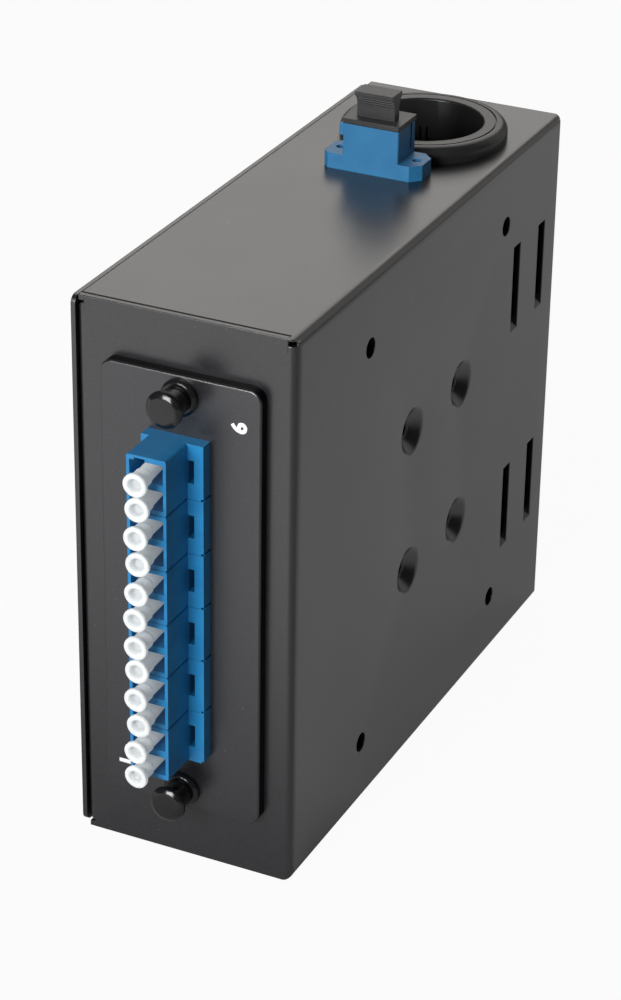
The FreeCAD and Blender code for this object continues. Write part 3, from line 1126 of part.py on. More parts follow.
def add_snap_lug(body):
    """A wedge on one finger, just under the top panel."""
    lug = sketch_on(body, "SnapLug", "XZ_Plane", y="-bushing_lug_width / 2")
    root = "bushing_barrel_diameter / 2 - bushing_lug_root"
    tip = "bushing_barrel_diameter / 2 + bushing_lug_reach"
    top = "(-sheet_thickness - bushing_lug_gap)"
    draw_polygon(lug, [(root, f"{top} - bushing_lug_height"), (tip, f"{top} - bushing_lug_face"),
                       (tip, top), (root, top)])
    return add(body, lug, "bushing_lug_width")


def repeat_round(body, sketch, features):
    """The features repeated round the body's axis, once for each finger."""
    pattern = body.newObject("PartDesign::PolarPattern", "Fingers")
    pattern.Originals = features
    pattern.Axis = (sketch, ["N_Axis"])
    pattern.Angle = 360
    pattern.setExpression("Occurrences", bound("bushing_finger_count"))
    body.Tip = pattern


# Assembly

adapters = int(worth("adapter_count"))
housing_shell()
side_cover()
group_of("cover_screws", [cover_screw(index, *place) for index, place in enumerate(SCREW_PLACES, start=1)])
adapter_plate(adapters)
for number in range(1, adapters + 1):
    duplex_adapter(number)
    group_of(f"alignment_sleeves_{number}", [alignment_sleeve(number, way) for way in (-1, 1)])
    adapter_clip(number)
for number in range(1, 2 * adapters + 1):
    dust_cap(number)
for name, way in (("upper", 1), ("lower", -1)):
    plunger_bush(f"{name}_plunger_bush", way)
    plunger_pin(f"{name}_plunger_pin", way)
top_adapter_outer()
top_adapter_inner()
top_adapter_clip()
top_dust_cap()
cable_bushing()
document.recompute()


# Checks and export

ADDING = ("PartDesign::Pad", "PartDesign::Revolution")
CUTTING = ("PartDesign::Pocket", "PartDesign::Groove")

for item in document.Objects:
    if {"Invalid", "Error"} & set(item.State):
        raise RuntimeError(f"{item.Name} failed: {item.State}")
    if item.TypeId in ADDING + CUTTING and item.BaseFeature is not None:
        change = item.Shape.Volume - item.BaseFeature.Shape.Volume
        if (change <= 0) == (item.TypeId in ADDING):
            raise RuntimeError(f"{item.Name} changes the volume by {change:.4f}")

os.makedirs("parts", exist_ok=True)
for piece in pieces:
    if piece.Shape.isNull() or not piece.Shape.isValid():
        raise RuntimeError(f"{piece.Label} has no valid shape")
    piece.Shape.exportStep(f"parts/{piece.Label}.step")
print(len(pieces), "pieces written")
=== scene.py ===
# %% [markdown]
# # A fibre optic patch panel
# A narrow box folded from black-coated sheet steel stands on its short side. A plate on its
# front holds six blue duplex adapters, each with two white dust caps, between two black
# push-pull plungers. On top are a larger blue adapter with a black plug and a cable bushing.
#
# The solids come ready from the construction model, so this script has three jobs: to place
# the camera and the light, to give each solid its finish, and to make what a construction
# model leaves out: the soft curves of turned pieces, the printed numbers and the coat over the
# edges of the front panel.

# %% Load the model
import json
import math

import bpy
import numpy as np
from mathutils import Matrix, Vector


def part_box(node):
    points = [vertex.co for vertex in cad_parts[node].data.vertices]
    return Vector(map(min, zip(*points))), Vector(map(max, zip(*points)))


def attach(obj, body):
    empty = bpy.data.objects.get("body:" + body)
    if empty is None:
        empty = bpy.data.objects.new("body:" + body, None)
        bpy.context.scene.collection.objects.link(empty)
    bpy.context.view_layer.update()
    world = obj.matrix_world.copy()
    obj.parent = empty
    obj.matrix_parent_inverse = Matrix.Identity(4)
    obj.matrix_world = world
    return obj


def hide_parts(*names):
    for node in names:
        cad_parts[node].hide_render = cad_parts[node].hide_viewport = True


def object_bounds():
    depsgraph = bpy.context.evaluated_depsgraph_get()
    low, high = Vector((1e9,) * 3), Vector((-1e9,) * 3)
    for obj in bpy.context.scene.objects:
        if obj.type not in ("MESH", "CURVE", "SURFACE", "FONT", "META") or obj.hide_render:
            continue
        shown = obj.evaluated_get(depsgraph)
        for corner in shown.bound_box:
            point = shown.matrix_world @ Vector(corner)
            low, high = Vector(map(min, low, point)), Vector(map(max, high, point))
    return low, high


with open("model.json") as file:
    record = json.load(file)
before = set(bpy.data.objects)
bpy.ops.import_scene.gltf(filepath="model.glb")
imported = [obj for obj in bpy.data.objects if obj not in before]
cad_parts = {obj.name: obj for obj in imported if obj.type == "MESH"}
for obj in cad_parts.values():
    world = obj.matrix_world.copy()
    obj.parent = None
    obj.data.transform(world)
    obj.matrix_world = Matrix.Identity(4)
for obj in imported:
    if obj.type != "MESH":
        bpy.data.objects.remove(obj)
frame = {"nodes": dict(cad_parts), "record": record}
nodes = frame["nodes"]
MM = 0.001
cad_low, cad_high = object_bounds()
print("construction model:", [round(v / MM, 1) for v in cad_high - cad_low], "mm,", len(nodes), "nodes")

# %% [markdown]
# ## The camera
# The box is seen from its right and from above through a long lens. Its edges run together
# only a little, which tells that the camera stood about 0.7 m away. The place was worked out
# from the box's corners in the picture: a direction round the box, a height, a slight roll,
# and the point of the box in the middle of the picture. An empty with a constraint could aim
# the camera too, but three axes written out leave nothing to guess.

# %% Place the camera
CAMERA_ROUND, CAMERA_UP, CAMERA_ROLL = np.radians([25.175, 27.641, 0.917])
CAMERA_DISTANCE = 0.71264
LOOKED_AT = Vector((2.778, -16.329, 64.820)) * MM
SENSOR = 36.0
PICTURE_HEIGHT = 1000
FOCAL_LENGTH_PIXELS = 3023.4

view = -Vector((math.sin(CAMERA_ROUND) * math.cos(CAMERA_UP),
                -math.cos(CAMERA_ROUND) * math.cos(CAMERA_UP), math.sin(CAMERA_UP)))
level_right = view.cross(Vector((0, 0, 1))).normalized()
level_up = level_right.cross(view)
right = level_right * math.cos(CAMERA_ROLL) + level_up * math.sin(CAMERA_ROLL)
up = level_up * math.cos(CAMERA_ROLL) - level_right * math.sin(CAMERA_ROLL)

camera_data = bpy.data.cameras.new("camera")
camera_data.sensor_width = SENSOR
camera_data.lens = FOCAL_LENGTH_PIXELS * SENSOR / PICTURE_HEIGHT
camera_data.clip_start, camera_data.clip_end = 0.05, 30.0
camera = bpy.data.objects.new("camera", camera_data)
turned = Matrix((right, up, -view)).transposed().to_4x4()
camera.matrix_world = Matrix.Translation(LOOKED_AT - view * CAMERA_DISTANCE) @ turned
bpy.context.scene.collection.objects.link(camera)
bpy.context.scene.camera = camera
print("camera at", [round(v, 3) for v in camera.matrix_world.translation], "lens", round(camera_data.lens, 1))

# %% [markdown]
# ## Nodes for the finishes
# Every finish below is a small network of nodes on one Principled shader. One helper adds a
# node and fills its inputs: a value is set on the socket, and a socket is linked.

# %% A helper for nodes
def add_node(tree, kind, inputs=None, **settings):
    """Adds a node of a kind, with settings, and sets or links each named or numbered input."""
    node = tree.nodes.new(kind)
    for name, value in settings.items():
        setattr(node, name, value)
    for name, value in (inputs or {}).items():
        if isinstance(value, bpy.types.NodeSocket):
            tree.links.new(value, node.inputs[name])
        else:
            node.inputs[name].default_value = value
    return node


def new_finish(name):
    """Returns a new material with its tree, its Principled shader and the object's coordinates."""
    finish = bpy.data.materials.new(name)
    finish.use_nodes = True
    tree = finish.node_tree
    shader = tree.nodes["Principled BSDF"]
    place = tree.nodes.new("ShaderNodeTexCoord").outputs["Object"]
    return finish, tree, shader, place


def noise(tree, place, size, detail=3.0, roughness=0.55):
    """Returns the grey value of a noise whose lumps are about size metres across."""
    return add_node(tree, "ShaderNodeTexNoise", {"Vector": place, "Scale": 1 / size, "Detail": detail,
                                                 "Roughness": roughness}).outputs["Fac"]


def ramp(tree, value, low, high, to_low=0.0, to_high=1.0):
    """Returns value carried from the range low to high into the range to_low to to_high."""
    return add_node(tree, "ShaderNodeMapRange", {"Value": value, "From Min": low, "From Max": high,
                                                 "To Min": to_low, "To Max": to_high}).outputs["Result"]


def mix_colour(tree, share, first, second):
    """Returns first where share is 0 and second where it is 1."""
    node = add_node(tree, "ShaderNodeMix", data_type="RGBA")
    for socket, value in ((node.inputs["Factor"], share), (node.inputs[6], first), (node.inputs[7], second)):
        if isinstance(value, bpy.types.NodeSocket):
            tree.links.new(value, socket)
        else:
            socket.default_value = value
    return node.outputs[2]


def times(tree, first, second):
    """Returns the product of two grey values."""
    return add_node(tree, "ShaderNodeMath", {0: first, 1: second}, operation="MULTIPLY").outputs[0]


def colour(red, green, blue):
    """An 8-bit screen colour as the linear colour that a shader takes."""
    seen = np.array((red, green, blue)) / 255
    linear = np.where(seen <= 0.04045, seen / 12.92, ((seen + 0.055) / 1.055) ** 2.4)
    return (*linear.tolist(), 1.0)

# %% [markdown]
# ## Powder coat
# The housing, its side cover and the plate are steel under a baked powder coat. The grains
# melt into a skin that is fine and pebbly, half matt, and a little thinner over sharp edges.
# Photographs of such a coat would repeat, so the pebbles are noise on the object's own
# coordinates: a fine one gives the bumps and lightens their tops, and a broad one shifts the
# sheen as an uneven bake does. A bevel in the shading rounds the cut edges by a fraction of
# a millimetre, where a real edge of thin sheet catches the light.

# %% A powder coat
COAT_DRIFT = 0.012
RIM_FADE = 0.2 * MM
# Painted shade for the plate's rim and the seam: near black and almost without sheen.
RIM_PAINTED_SHADE, PAINTED_SHADE_GLOSS = colour(12, 12, 13), 0.06


def powder_coat(name, dark, light, roughness, edge, rim=None, gloss=1.0, specks=0.35):
    """A black coat: fine pebbles in colour and bump, and a broad drift in its roughness. Behind the
    distance rim along Y, where it is given, painted shade makes the coat matt and near black. Gloss is how
    much the skin reflects, and specks the share of grey in the few grains of dust."""
    finish, tree, shader, place = new_finish(name)
    pebbles = noise(tree, place, 0.42 * MM, 2.0, 0.6)
    skin = noise(tree, place, 1.6 * MM, 2.0)
    drift = noise(tree, place, 22 * MM, 3.0)
    dust = ramp(tree, noise(tree, place, 1.1 * MM, 1.0), 0.76, 0.82)
    grey = mix_colour(tree, ramp(tree, pebbles, 0.38, 0.68), dark, light)
    coat = mix_colour(tree, times(tree, dust, specks), grey, colour(120, 120, 122))
    uneven = ramp(tree, drift, 0.3, 0.7, roughness - COAT_DRIFT, roughness + COAT_DRIFT)
    tree.links.new(uneven, shader.inputs["Roughness"])
    shader.inputs["Specular IOR Level"].default_value = gloss
    # Painted shade: behind the rim the colour and the sheen fade to near black.
    if rim is not None:
        depth = add_node(tree, "ShaderNodeSeparateXYZ", {0: place}).outputs["Y"]
        fading = ramp(tree, depth, rim, rim + RIM_FADE, gloss, PAINTED_SHADE_GLOSS)
        tree.links.new(fading, shader.inputs["Specular IOR Level"])
        coat = mix_colour(tree, ramp(tree, depth, rim, rim + RIM_FADE), coat, RIM_PAINTED_SHADE)
    tree.links.new(coat, shader.inputs["Base Color"])
    rounded = add_node(tree, "ShaderNodeBevel", {"Radius": edge}, samples=6)
    low_swell = add_node(tree, "ShaderNodeBump", {"Height": skin, "Strength": 0.10, "Distance": 0.05 * MM,
                                                  "Normal": rounded.outputs[0]})
    bumps = add_node(tree, "ShaderNodeBump", {"Height": pebbles, "Strength": 0.35, "Distance": 0.05 * MM,
                                              "Normal": low_swell.outputs[0]})
    tree.links.new(bumps.outputs[0], shader.inputs["Normal"])
    return finish

# %% Coat the housing, its cover and the plate
COAT_DARK, COAT_LIGHT = colour(19, 19, 22), colour(31, 31, 35)
PLATE_FACE = float(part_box("adapter_plate")[0][1])
PLATE_SHOWN = 0.45 * MM
housing_paint = powder_coat("housing_paint", COAT_DARK, COAT_LIGHT, 0.30, 0.35 * MM)
cover_paint = powder_coat("cover_paint", COAT_DARK, COAT_LIGHT, 0.30, 0.25 * MM)
# The plate's rim behind its face is painted shade, near black and matt.
plate_paint = powder_coat("plate_paint", colour(19, 19, 23), colour(31, 31, 36), 0.32, 0.3 * MM,
                          rim=PLATE_FACE + PLATE_SHOWN)
print("powder coat on three nodes; the plate's rim darkens", PLATE_SHOWN / MM, "mm behind its face")

# %% [markdown]
# ## Moulded blue plastic
# The adapters are moulded in a filled blue plastic with a satin skin. The mould was spark
# eroded, which leaves a very fine grain, and the flow of the plastic leaves paler clouds. One
# even colour would look like paint, so two noises serve: a broad one for the clouds and a very
# fine one for the grain. The same network, with other values, makes every plastic below.

# %% A moulded plastic
SCATTER_LENGTH = 2.0 * MM
# The grey of painted shade on the floor of a cap's dish.
DISH_PAINTED_SHADE = colour(186, 190, 192)
GRAIN_SPREAD = 0.05


def moulded_plastic(name, base, pale, roughness, grain, edge, through=0.0, painted_glow=0.0):
    """A satin plastic: clouds of a paler tone, a fine eroded grain and rounded edges. Through is
    the share of light that enters it, and painted_glow the strength of a painted glow in its own tone.
    A plastic with a painted glow is greyed by painted shade from the piece's own value named dish."""
    finish, tree, shader, place = new_finish(name)
    clouds = noise(tree, place, 6 * MM, 3.0)
    fine = noise(tree, place, 0.22 * MM, 2.0)
    tone = mix_colour(tree, ramp(tree, clouds, 0.35, 0.7), base, pale)
    if painted_glow:
        # Painted shade: the value named dish greys the tone towards the dish's floor.
        inside = add_node(tree, "ShaderNodeAttribute", attribute_name="dish").outputs["Fac"]
        tone = mix_colour(tree, inside, tone, DISH_PAINTED_SHADE)
    tree.links.new(tone, shader.inputs["Base Color"])
    grained = ramp(tree, fine, 0.3, 0.7, roughness - GRAIN_SPREAD, roughness + GRAIN_SPREAD)
    tree.links.new(grained, shader.inputs["Roughness"])
    rounded = add_node(tree, "ShaderNodeBevel", {"Radius": edge}, samples=6)
    bumps = add_node(tree, "ShaderNodeBump", {"Height": fine, "Strength": grain, "Distance": 0.03 * MM,
                                              "Normal": rounded.outputs[0]})
    tree.links.new(bumps.outputs[0], shader.inputs["Normal"])
    if through:
        shader.inputs["Subsurface Weight"].default_value = through
        shader.inputs["Subsurface Radius"].default_value = (1.0, 1.0, 1.0)
        shader.inputs["Subsurface Scale"].default_value = SCATTER_LENGTH
    # Painted light: the tone is also given out as a weak glow.
    if painted_glow:
        tree.links.new(tone, shader.inputs["Emission Color"])
        shader.inputs["Emission Strength"].default_value = painted_glow
    return finish

# %% Make the blue plastics
adapter_blue = moulded_plastic("adapter_blue", colour(24, 116, 172), colour(32, 128, 184), 0.42, 0.15,
                               0.15 * MM)
top_adapter_blue = moulded_plastic("top_adapter_blue", colour(38, 110, 158), colour(45, 120, 168), 0.45,
                                   0.15, 0.15 * MM)
print("blue plastics made")

# %% [markdown]
# ## Soft white plastic and black nylon
# The dust caps are a soft white plastic that light enters a little way: their tubes look grey
# where they are thin and in shade, and the flared ends look clean white. A plain white would
# look like chalk, so the light is scattered below the skin over about two millimetres, and a
# weak painted glow, an emission of their own tone, lightens them further. The
# bushing and the top plug are satin black nylon, and the plungers are polished.

# %% Make the cap plastic and the black plastics
# The caps' emission is a painted glow: no lamp is inside them.
cap_white = moulded_plastic("cap_white", colour(216, 219, 219), colour(224, 227, 227), 0.45, 0.05, 0.1 * MM,
                            through=1.0, painted_glow=0.17)
cap_black = moulded_plastic("cap_black", colour(36, 36, 38), colour(44, 44, 46), 0.40, 0.2, 0.15 * MM)
bushing_black = moulded_plastic("bushing_black", colour(34, 34, 35), colour(40, 40, 41), 0.36, 0.12,
                                0.15 * MM)
plunger_black = moulded_plastic("plunger_black", colour(20, 20, 22), colour(25, 25, 27), 0.16, 0.04,
                                0.45 * MM)
print_white = moulded_plastic("print_white", colour(238, 238, 240), colour(246, 246, 247), 0.5, 0.1,
                              0.01 * MM)
print("white and black plastics made")

# %% [markdown]
# ## Metals and ceramic
# The spring clips are bright strip, the cover screws are dark zinc, and the sleeves inside
# the adapters are polished ceramic. Rolled strip has fine lines along its length, so its
# noise is stretched, and the same network serves both metals.

# %% A rolled metal
LINE_SPREAD = 0.06


def rolled_metal(name, tone, roughness):
    """A metal with fine lines along Y: noise stretched 30 to 1 in colour, roughness and bump."""
    finish, tree, shader, place = new_finish(name)
    stretched = add_node(tree, "ShaderNodeMapping", {"Vector": place, "Scale": (30.0, 1.0, 30.0)})
    lines = noise(tree, stretched.outputs[0], 4 * MM, 2.0)
    tree.links.new(mix_colour(tree, lines, tone, colour(150, 150, 152)), shader.inputs["Base Color"])
    shader.inputs["Metallic"].default_value = 1.0
    lined = ramp(tree, lines, 0.3, 0.7, roughness - LINE_SPREAD, roughness + LINE_SPREAD)
    tree.links.new(lined, shader.inputs["Roughness"])
    bumps = add_node(tree, "ShaderNodeBump", {"Height": lines, "Strength": 0.1, "Distance": 0.02 * MM})
    tree.links.new(bumps.outputs[0], shader.inputs["Normal"])
    return finish

# %% Make the metals and the ceramic
spring_steel = rolled_metal("spring_steel", colour(190, 190, 192), 0.3)
screw_steel = rolled_metal("screw_steel", colour(70, 70, 72), 0.4)
sleeve_ceramic = moulded_plastic("sleeve_ceramic", colour(238, 236, 228), colour(244, 242, 236), 0.15, 0.02,
                                 0.05 * MM, through=0.3)
print("metals and ceramic made")

# %% [markdown]
# ## Dress the solids
# A solid arrives as loose flat triangles. Weld joins them, and Edge Split parts them again
# only at corners sharper than 30 degrees, so bends and holes shade smoothly while edges stay
# crisp. Both are modifiers, which leave the solid's own mesh as it came.

# %% Give every solid its finish and smooth its curves
finishes = {"housing_paint": housing_paint, "cover_paint": cover_paint, "plate_paint": plate_paint,
            "adapter_blue": adapter_blue, "top_adapter_blue": top_adapter_blue, "cap_white": cap_white,
            "cap_black": cap_black, "bushing_black": bushing_black, "plunger_black": plunger_black,
            "spring_steel": spring_steel, "screw_steel": screw_steel, "sleeve_ceramic": sleeve_ceramic}
slot_of = {part["node"]: part["material_slot"] for part in frame["record"]["subparts"]}
WELD_DISTANCE = 0.002 * MM
SHARPEST_SMOOTH = math.radians(30)


def dress(name):
    """Assigns the finish of a node's slot, and shades its curves smoothly."""
    solid = nodes[name]
    finish = finishes[slot_of[name]]
    if not solid.material_slots:
        solid.data.materials.append(finish)
    for slot in solid.material_slots:
        slot.material = finish
    solid.data.polygons.foreach_set("use_smooth", np.ones(len(solid.data.polygons), bool))
    weld = solid.modifiers.new("join triangles", "WELD")
    weld.merge_threshold = WELD_DISTANCE
    split = solid.modifiers.new("crisp edges", "EDGE_SPLIT")
    split.split_angle = SHARPEST_SMOOTH


for name in nodes:
    dress(name)
print("dressed", len(nodes), "solids")

# %% [markdown]
# ## Turned pieces
# A dust cap and a plunger are round, so each is one profile carried round its axis. The
# profile is drawn as straight runs whose corners are rounded by an arc, which is how a
# drawing of a turned part gives it. A screw modifier could spin it, but whole arrays give the
# points at once and leave the axis free to lean as each cap does.

# %% Helpers for turned pieces
def rounded_profile(corners, steps=6):
    """Replaces each inner corner (along, radius, rounding) of a run by a curve from the point
    rounding before it to the point rounding after it, a parabola that leaves both runs in line."""
    points = [np.array(corners[0][:2])]
    t = np.linspace(0, 1, steps)[:, None]
    for before, corner, after in zip(corners, corners[1:], corners[2:]):
        a, b, c = (np.array(p[:2], float) for p in (before, corner, after))
        rounding = corner[2]
        start = b + (a - b) / np.linalg.norm(a - b) * rounding
        end = b + (c - b) / np.linalg.norm(c - b) * rounding
        points.extend((1 - t) ** 2 * start + 2 * t * (1 - t) * b + t ** 2 * end)
    points.append(np.array(corners[-1][:2]))
    return np.array(points)


def turned_piece(name, profile, origin, axis, segments, finish, body):
    """Carries a profile (along, radius) round an axis: point = origin + along * axis +
    radius * (cos a * side + sin a * other side), with a pole where the radius is 0."""
    axis = np.array(axis) / np.linalg.norm(axis)
    side = np.cross(axis, (0.3, 0.1, 1.0))
    side /= np.linalg.norm(side)
    other = np.cross(axis, side)
    angle = np.linspace(0, 2 * np.pi, segments, endpoint=False)
    ring = np.cos(angle)[:, None] * side + np.sin(angle)[:, None] * other
    body_rows = profile[1:-1]
    points = np.array(origin) + body_rows[:, :1, None] * axis + body_rows[:, 1:, None] * ring[None]
    points = points.reshape(-1, 3)
    poles = np.array(origin) + profile[[0, -1], :1] * axis
    rows = len(body_rows)
    i, j = np.meshgrid(np.arange(rows - 1), np.arange(segments), indexing="ij")
    k = (j + 1) % segments
    quads = np.stack([i * segments + j, (i + 1) * segments + j, (i + 1) * segments + k, i * segments + k], -1)
    first, last = rows * segments, rows * segments + 1
    around = np.arange(segments)
    after = (around + 1) % segments
    last_row = (rows - 1) * segments
    cap_start = np.stack([np.full(segments, first), around, after], -1)
    cap_end = np.stack([np.full(segments, last), last_row + after, last_row + around], -1)
    mesh = bpy.data.meshes.new(name)
    mesh.from_pydata(np.vstack([points, poles]).tolist(), [],
                     quads.reshape(-1, 4).tolist() + cap_start.tolist() + cap_end.tolist())
    mesh.update()
    mesh.polygons.foreach_set("use_smooth", np.ones(len(mesh.polygons), bool))
    mesh.materials.append(finish)
    piece = bpy.data.objects.new(name, mesh)
    bpy.context.scene.collection.objects.link(piece)
    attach(piece, body)
    return piece


def outward(piece):
    """Turns the faces outwards if the closed mesh measures a negative volume, and returns it in mm3."""
    mesh = piece.data
    mesh.calc_loop_triangles()
    corners = np.zeros(len(mesh.vertices) * 3)
    mesh.vertices.foreach_get("co", corners)
    corners = corners.reshape(-1, 3)
    triangles = np.zeros(len(mesh.loop_triangles) * 3, int)
    mesh.loop_triangles.foreach_get("vertices", triangles)
    a, b, c = (corners[triangles.reshape(-1, 3)[:, n]] for n in range(3))
    volume = float(np.einsum("ij,ij->i", a, np.cross(b, c)).sum() / 6)
    if volume < 0:
        mesh.flip_normals()
    return abs(volume) / MM ** 3

# %% [markdown]
# ## Dust caps
# Each cap is one soft moulding: a tube that plugs the socket, and a flared end with a dish in
# it, where the mould's pin left a flat. Twelve of them lean each its own way. The lean and
# the place are read from the solid: its points lie evenly round the axis, so the direction in
# which they spread most is the axis. A value stored on each point, 0 on the ring and 1 on the
# floor of the dish, greys the dish with painted shade, as its hollow lies in shade.

# %% Find the axis of a round solid
def solid_points(name):
    """The separate points of a solid, as rows of x, y, z."""
    mesh = nodes[name].data
    points = np.zeros(len(mesh.vertices) * 3, np.float32)
    mesh.vertices.foreach_get("co", points)
    return np.unique(points.reshape(-1, 3).round(6), axis=0).astype(float)


def axis_of(name, towards):
    """The middle of a round solid, its axis on the side of a direction, and its reach along it."""
    points = solid_points(name)
    middle = points.mean(axis=0)
    axis = np.linalg.svd(points - middle, full_matrices=False)[2][0]
    axis *= math.copysign(1.0, float(axis @ np.array(towards)))
    along = (points - middle) @ axis
    return middle, axis, along.min(), along.max()

# %% Make the dust caps
CAP_RING, CAP_TUBE, CAP_PLUG, CAP_BORE = 2.8 * MM, 2.1 * MM, 1.85 * MM, 1.35 * MM
CAP_FLARE = 1.2 * MM
CAP_DISH_DEPTH, CAP_DISH_MOUTH, CAP_DISH_FLOOR = 1.5 * MM, 1.75 * MM, 1.2 * MM
CAP_BORE_DEPTH = 10.3 * MM
CAP_OUTSIDE = 4.9 * MM
CAP_STEP = 0.4 * MM
CAP_SEGMENTS = 40
SLACK = 0.05 * MM
cap_count = sum(name.startswith("dust_cap_") for name in nodes)
for number in range(1, cap_count + 1):
    middle, axis, back, front = axis_of(f"dust_cap_{number}", (0, -1, 0))
    web = back + CAP_BORE_DEPTH
    corners = [
        (web, 0, 0), (web, CAP_BORE, 0.3 * MM), (back, CAP_BORE, 0.15 * MM),
        (back, CAP_PLUG, 0.2 * MM), (front - CAP_OUTSIDE, CAP_PLUG, 0.15 * MM),
        (front - CAP_OUTSIDE + CAP_STEP, CAP_TUBE, 0.2 * MM), (front - CAP_FLARE, CAP_TUBE, 0.25 * MM),
        (front - CAP_FLARE + 0.1 * MM, CAP_RING, 0.3 * MM), (front, CAP_RING, 0.35 * MM),
        (front, CAP_DISH_MOUTH, 0.2 * MM), (front - CAP_DISH_DEPTH, CAP_DISH_FLOOR, 0.5 * MM),
        (front - CAP_DISH_DEPTH, 0, 0)]
    profile = rounded_profile(corners)
    cap = turned_piece(f"soft_cap_{number}", profile, middle, axis, CAP_SEGMENTS, cap_white, f"cap_{number}")
    # Painted shade: the dish greys towards its floor, as its hollow lies in shade.
    rows = profile[1:-1]
    in_dish = (rows[:, 0] > front - CAP_DISH_DEPTH - SLACK) & (rows[:, 1] < CAP_DISH_MOUTH + SLACK)
    depth = np.where(in_dish, np.clip((front - rows[:, 0]) / CAP_DISH_DEPTH, 0, 1), 0)
    cap.data.attributes.new("dish", "FLOAT", "POINT").data.foreach_set(
        "value", np.append(np.repeat(depth, CAP_SEGMENTS), (0, 1)).astype(np.float32))
    volume = outward(cap)
    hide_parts(f"dust_cap_{number}")
print("made", cap_count, "dust caps of", round(volume, 1), "mm3")

# %% [markdown]
# ## Plungers
# A push-pull plunger shows a flat head with a broad rounded bevel on a thick neck. Pulling
# it draws its pin out of the bush that goes through the plate. It is turned like the caps,
# from the round end of its pin forward to its face, so that its highlights bend smoothly.

# %% Make the plungers
PIN_HEAD, PIN_NECK, PIN_SHANK = 4.3 * MM, 3.2 * MM, 1.6 * MM
PIN_HEAD_THICK, PIN_NECK_LONG = 1.9 * MM, 4.9 * MM
PIN_BEVEL_LONG, PIN_BEVEL_IN, PIN_DOME = 0.85 * MM, 1.15 * MM, 0.12 * MM
PIN_SEGMENTS = 64
for level in ("upper", "lower"):
    low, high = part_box(f"{level}_plunger_pin")
    middle = ((low[0] + high[0]) / 2, 0.0, (low[2] + high[2]) / 2)
    front, back = -low[1], -high[1]
    under = front - PIN_HEAD_THICK
    seat = under - PIN_NECK_LONG
    corners = [
        (back, 0, 0), (back, PIN_SHANK, 0.5 * MM), (seat, PIN_SHANK, 0.1 * MM), (seat, PIN_NECK, 0.25 * MM),
        (under, PIN_NECK, 0.4 * MM), (under, PIN_HEAD, 0.3 * MM),
        (front - PIN_BEVEL_LONG, PIN_HEAD, 0.4 * MM),
        (front - PIN_DOME, PIN_HEAD - PIN_BEVEL_IN, 0.45 * MM), (front, 0, 0)]
    pin = turned_piece(f"turned_{level}_pin", rounded_profile(corners), middle, (0, -1, 0), PIN_SEGMENTS,
                       plunger_black, f"{level}_plunger")
    volume = outward(pin)
    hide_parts(f"{level}_plunger_pin")
print("made two plungers of", round(volume, 1), "mm3")

# %% [markdown]
# ## Printed numbers
# The plate counts its adapters: a white 1 stands beside the lowest and a white 6 beside the
# highest, both turned a quarter round to be read from the side. An image would blur close up,
# so a digit's outline is a text curve made into a mesh, whose points are then laid on the
# plate's face. The ink stands a few hundredths of a millimetre proud.

# %% A printed digit
DIGIT_HEIGHT = 3.9 * MM
DIGIT_STRETCH = 1.08
PRINT_THICKNESS = 0.02 * MM
PRINT_RISE = 0.4


def print_digit(name, digit, middle_x, middle_z):
    """Lays a digit on the plate, turned counter-clockwise: its right is up and its top is left.
    Offset and bevel thicken its strokes, as shares of the letter size."""
    curve = bpy.data.curves.new(name + "_outline", "FONT")
    curve.body, curve.size, curve.extrude = digit, 1.0, 0.1
    curve.offset, curve.bevel_depth, curve.bevel_resolution = 0.015, 0.03, 0
    outline = bpy.data.objects.new(name + "_outline", curve)
    mesh = bpy.data.meshes.new_from_object(outline)
    bpy.data.objects.remove(outline)
    points = np.zeros(len(mesh.vertices) * 3)
    mesh.vertices.foreach_get("co", points)
    points = points.reshape(-1, 3)
    middle = (points.min(axis=0) + points.max(axis=0)) / 2
    spread = points.max(axis=0) - points.min(axis=0)
    across, high, thick = ((points - middle) / (spread[1], spread[1], spread[2])).T
    laid = np.stack([middle_x - high * DIGIT_HEIGHT, PLATE_FACE - (thick + PRINT_RISE) * PRINT_THICKNESS,
                     middle_z + across * DIGIT_HEIGHT * DIGIT_STRETCH], axis=-1)
    mesh.vertices.foreach_set("co", laid.ravel())
    mesh.update()
    mesh.materials.clear()
    mesh.materials.append(print_white)
    piece = bpy.data.objects.new(name, mesh)
    bpy.context.scene.collection.objects.link(piece)
    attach(piece, "plate_unit")
    return round(float(spread[0] / spread[1] * DIGIT_HEIGHT * DIGIT_STRETCH / MM), 2)

# %% Print the numbers
print("digits", print_digit("printed_six", "6", 14.82 * MM, 113.52 * MM), "and",
      print_digit("printed_one", "1", -13.4 * MM, 22.5 * MM), "mm wide")

# %% [markdown]
# ## Edges of the front panel
# The front panel rises to the top of the box, where its edge is rounded under the coat, and the
# top starts behind it with a seam in shade. At the foot the coat has filled the seam. Paint on the
# housing alone can't move a seam, so three thin bands give that look: each is a section
# carried along the front and, at the foot, round its right bend. The band on the seam is a near-black
# matt strip of painted shade, which stands in for the shade of the narrow gap. A band stands a few
# hundredths of a millimetre proud, and its lower or upper end slopes back into the panel, so
# that no step shows. Past the bend the foot rises with the underside.

# %% A band of coat along the front
SHELL_LOW, SHELL_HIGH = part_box("housing_shell")
PANEL_FACE = float(SHELL_LOW[1])
BEND_RADIUS = 2.3 * MM
BEND_X = float(SHELL_HIGH[0]) - BEND_RADIUS
BEND_STEPS = 10


def along_front(start, bend_degrees):
    """Points and outward directions from start along the front, then round its right bend."""
    angle = np.radians(np.linspace(0, bend_degrees, BEND_STEPS if bend_degrees else 1))
    outward_arc = np.stack([np.sin(angle), -np.cos(angle)], axis=-1)
    centre = np.array((BEND_X, PANEL_FACE + BEND_RADIUS))
    places = np.vstack([[(start, PANEL_FACE)], centre + BEND_RADIUS * outward_arc])
    return places, np.vstack([[(0.0, -1.0)], outward_arc])


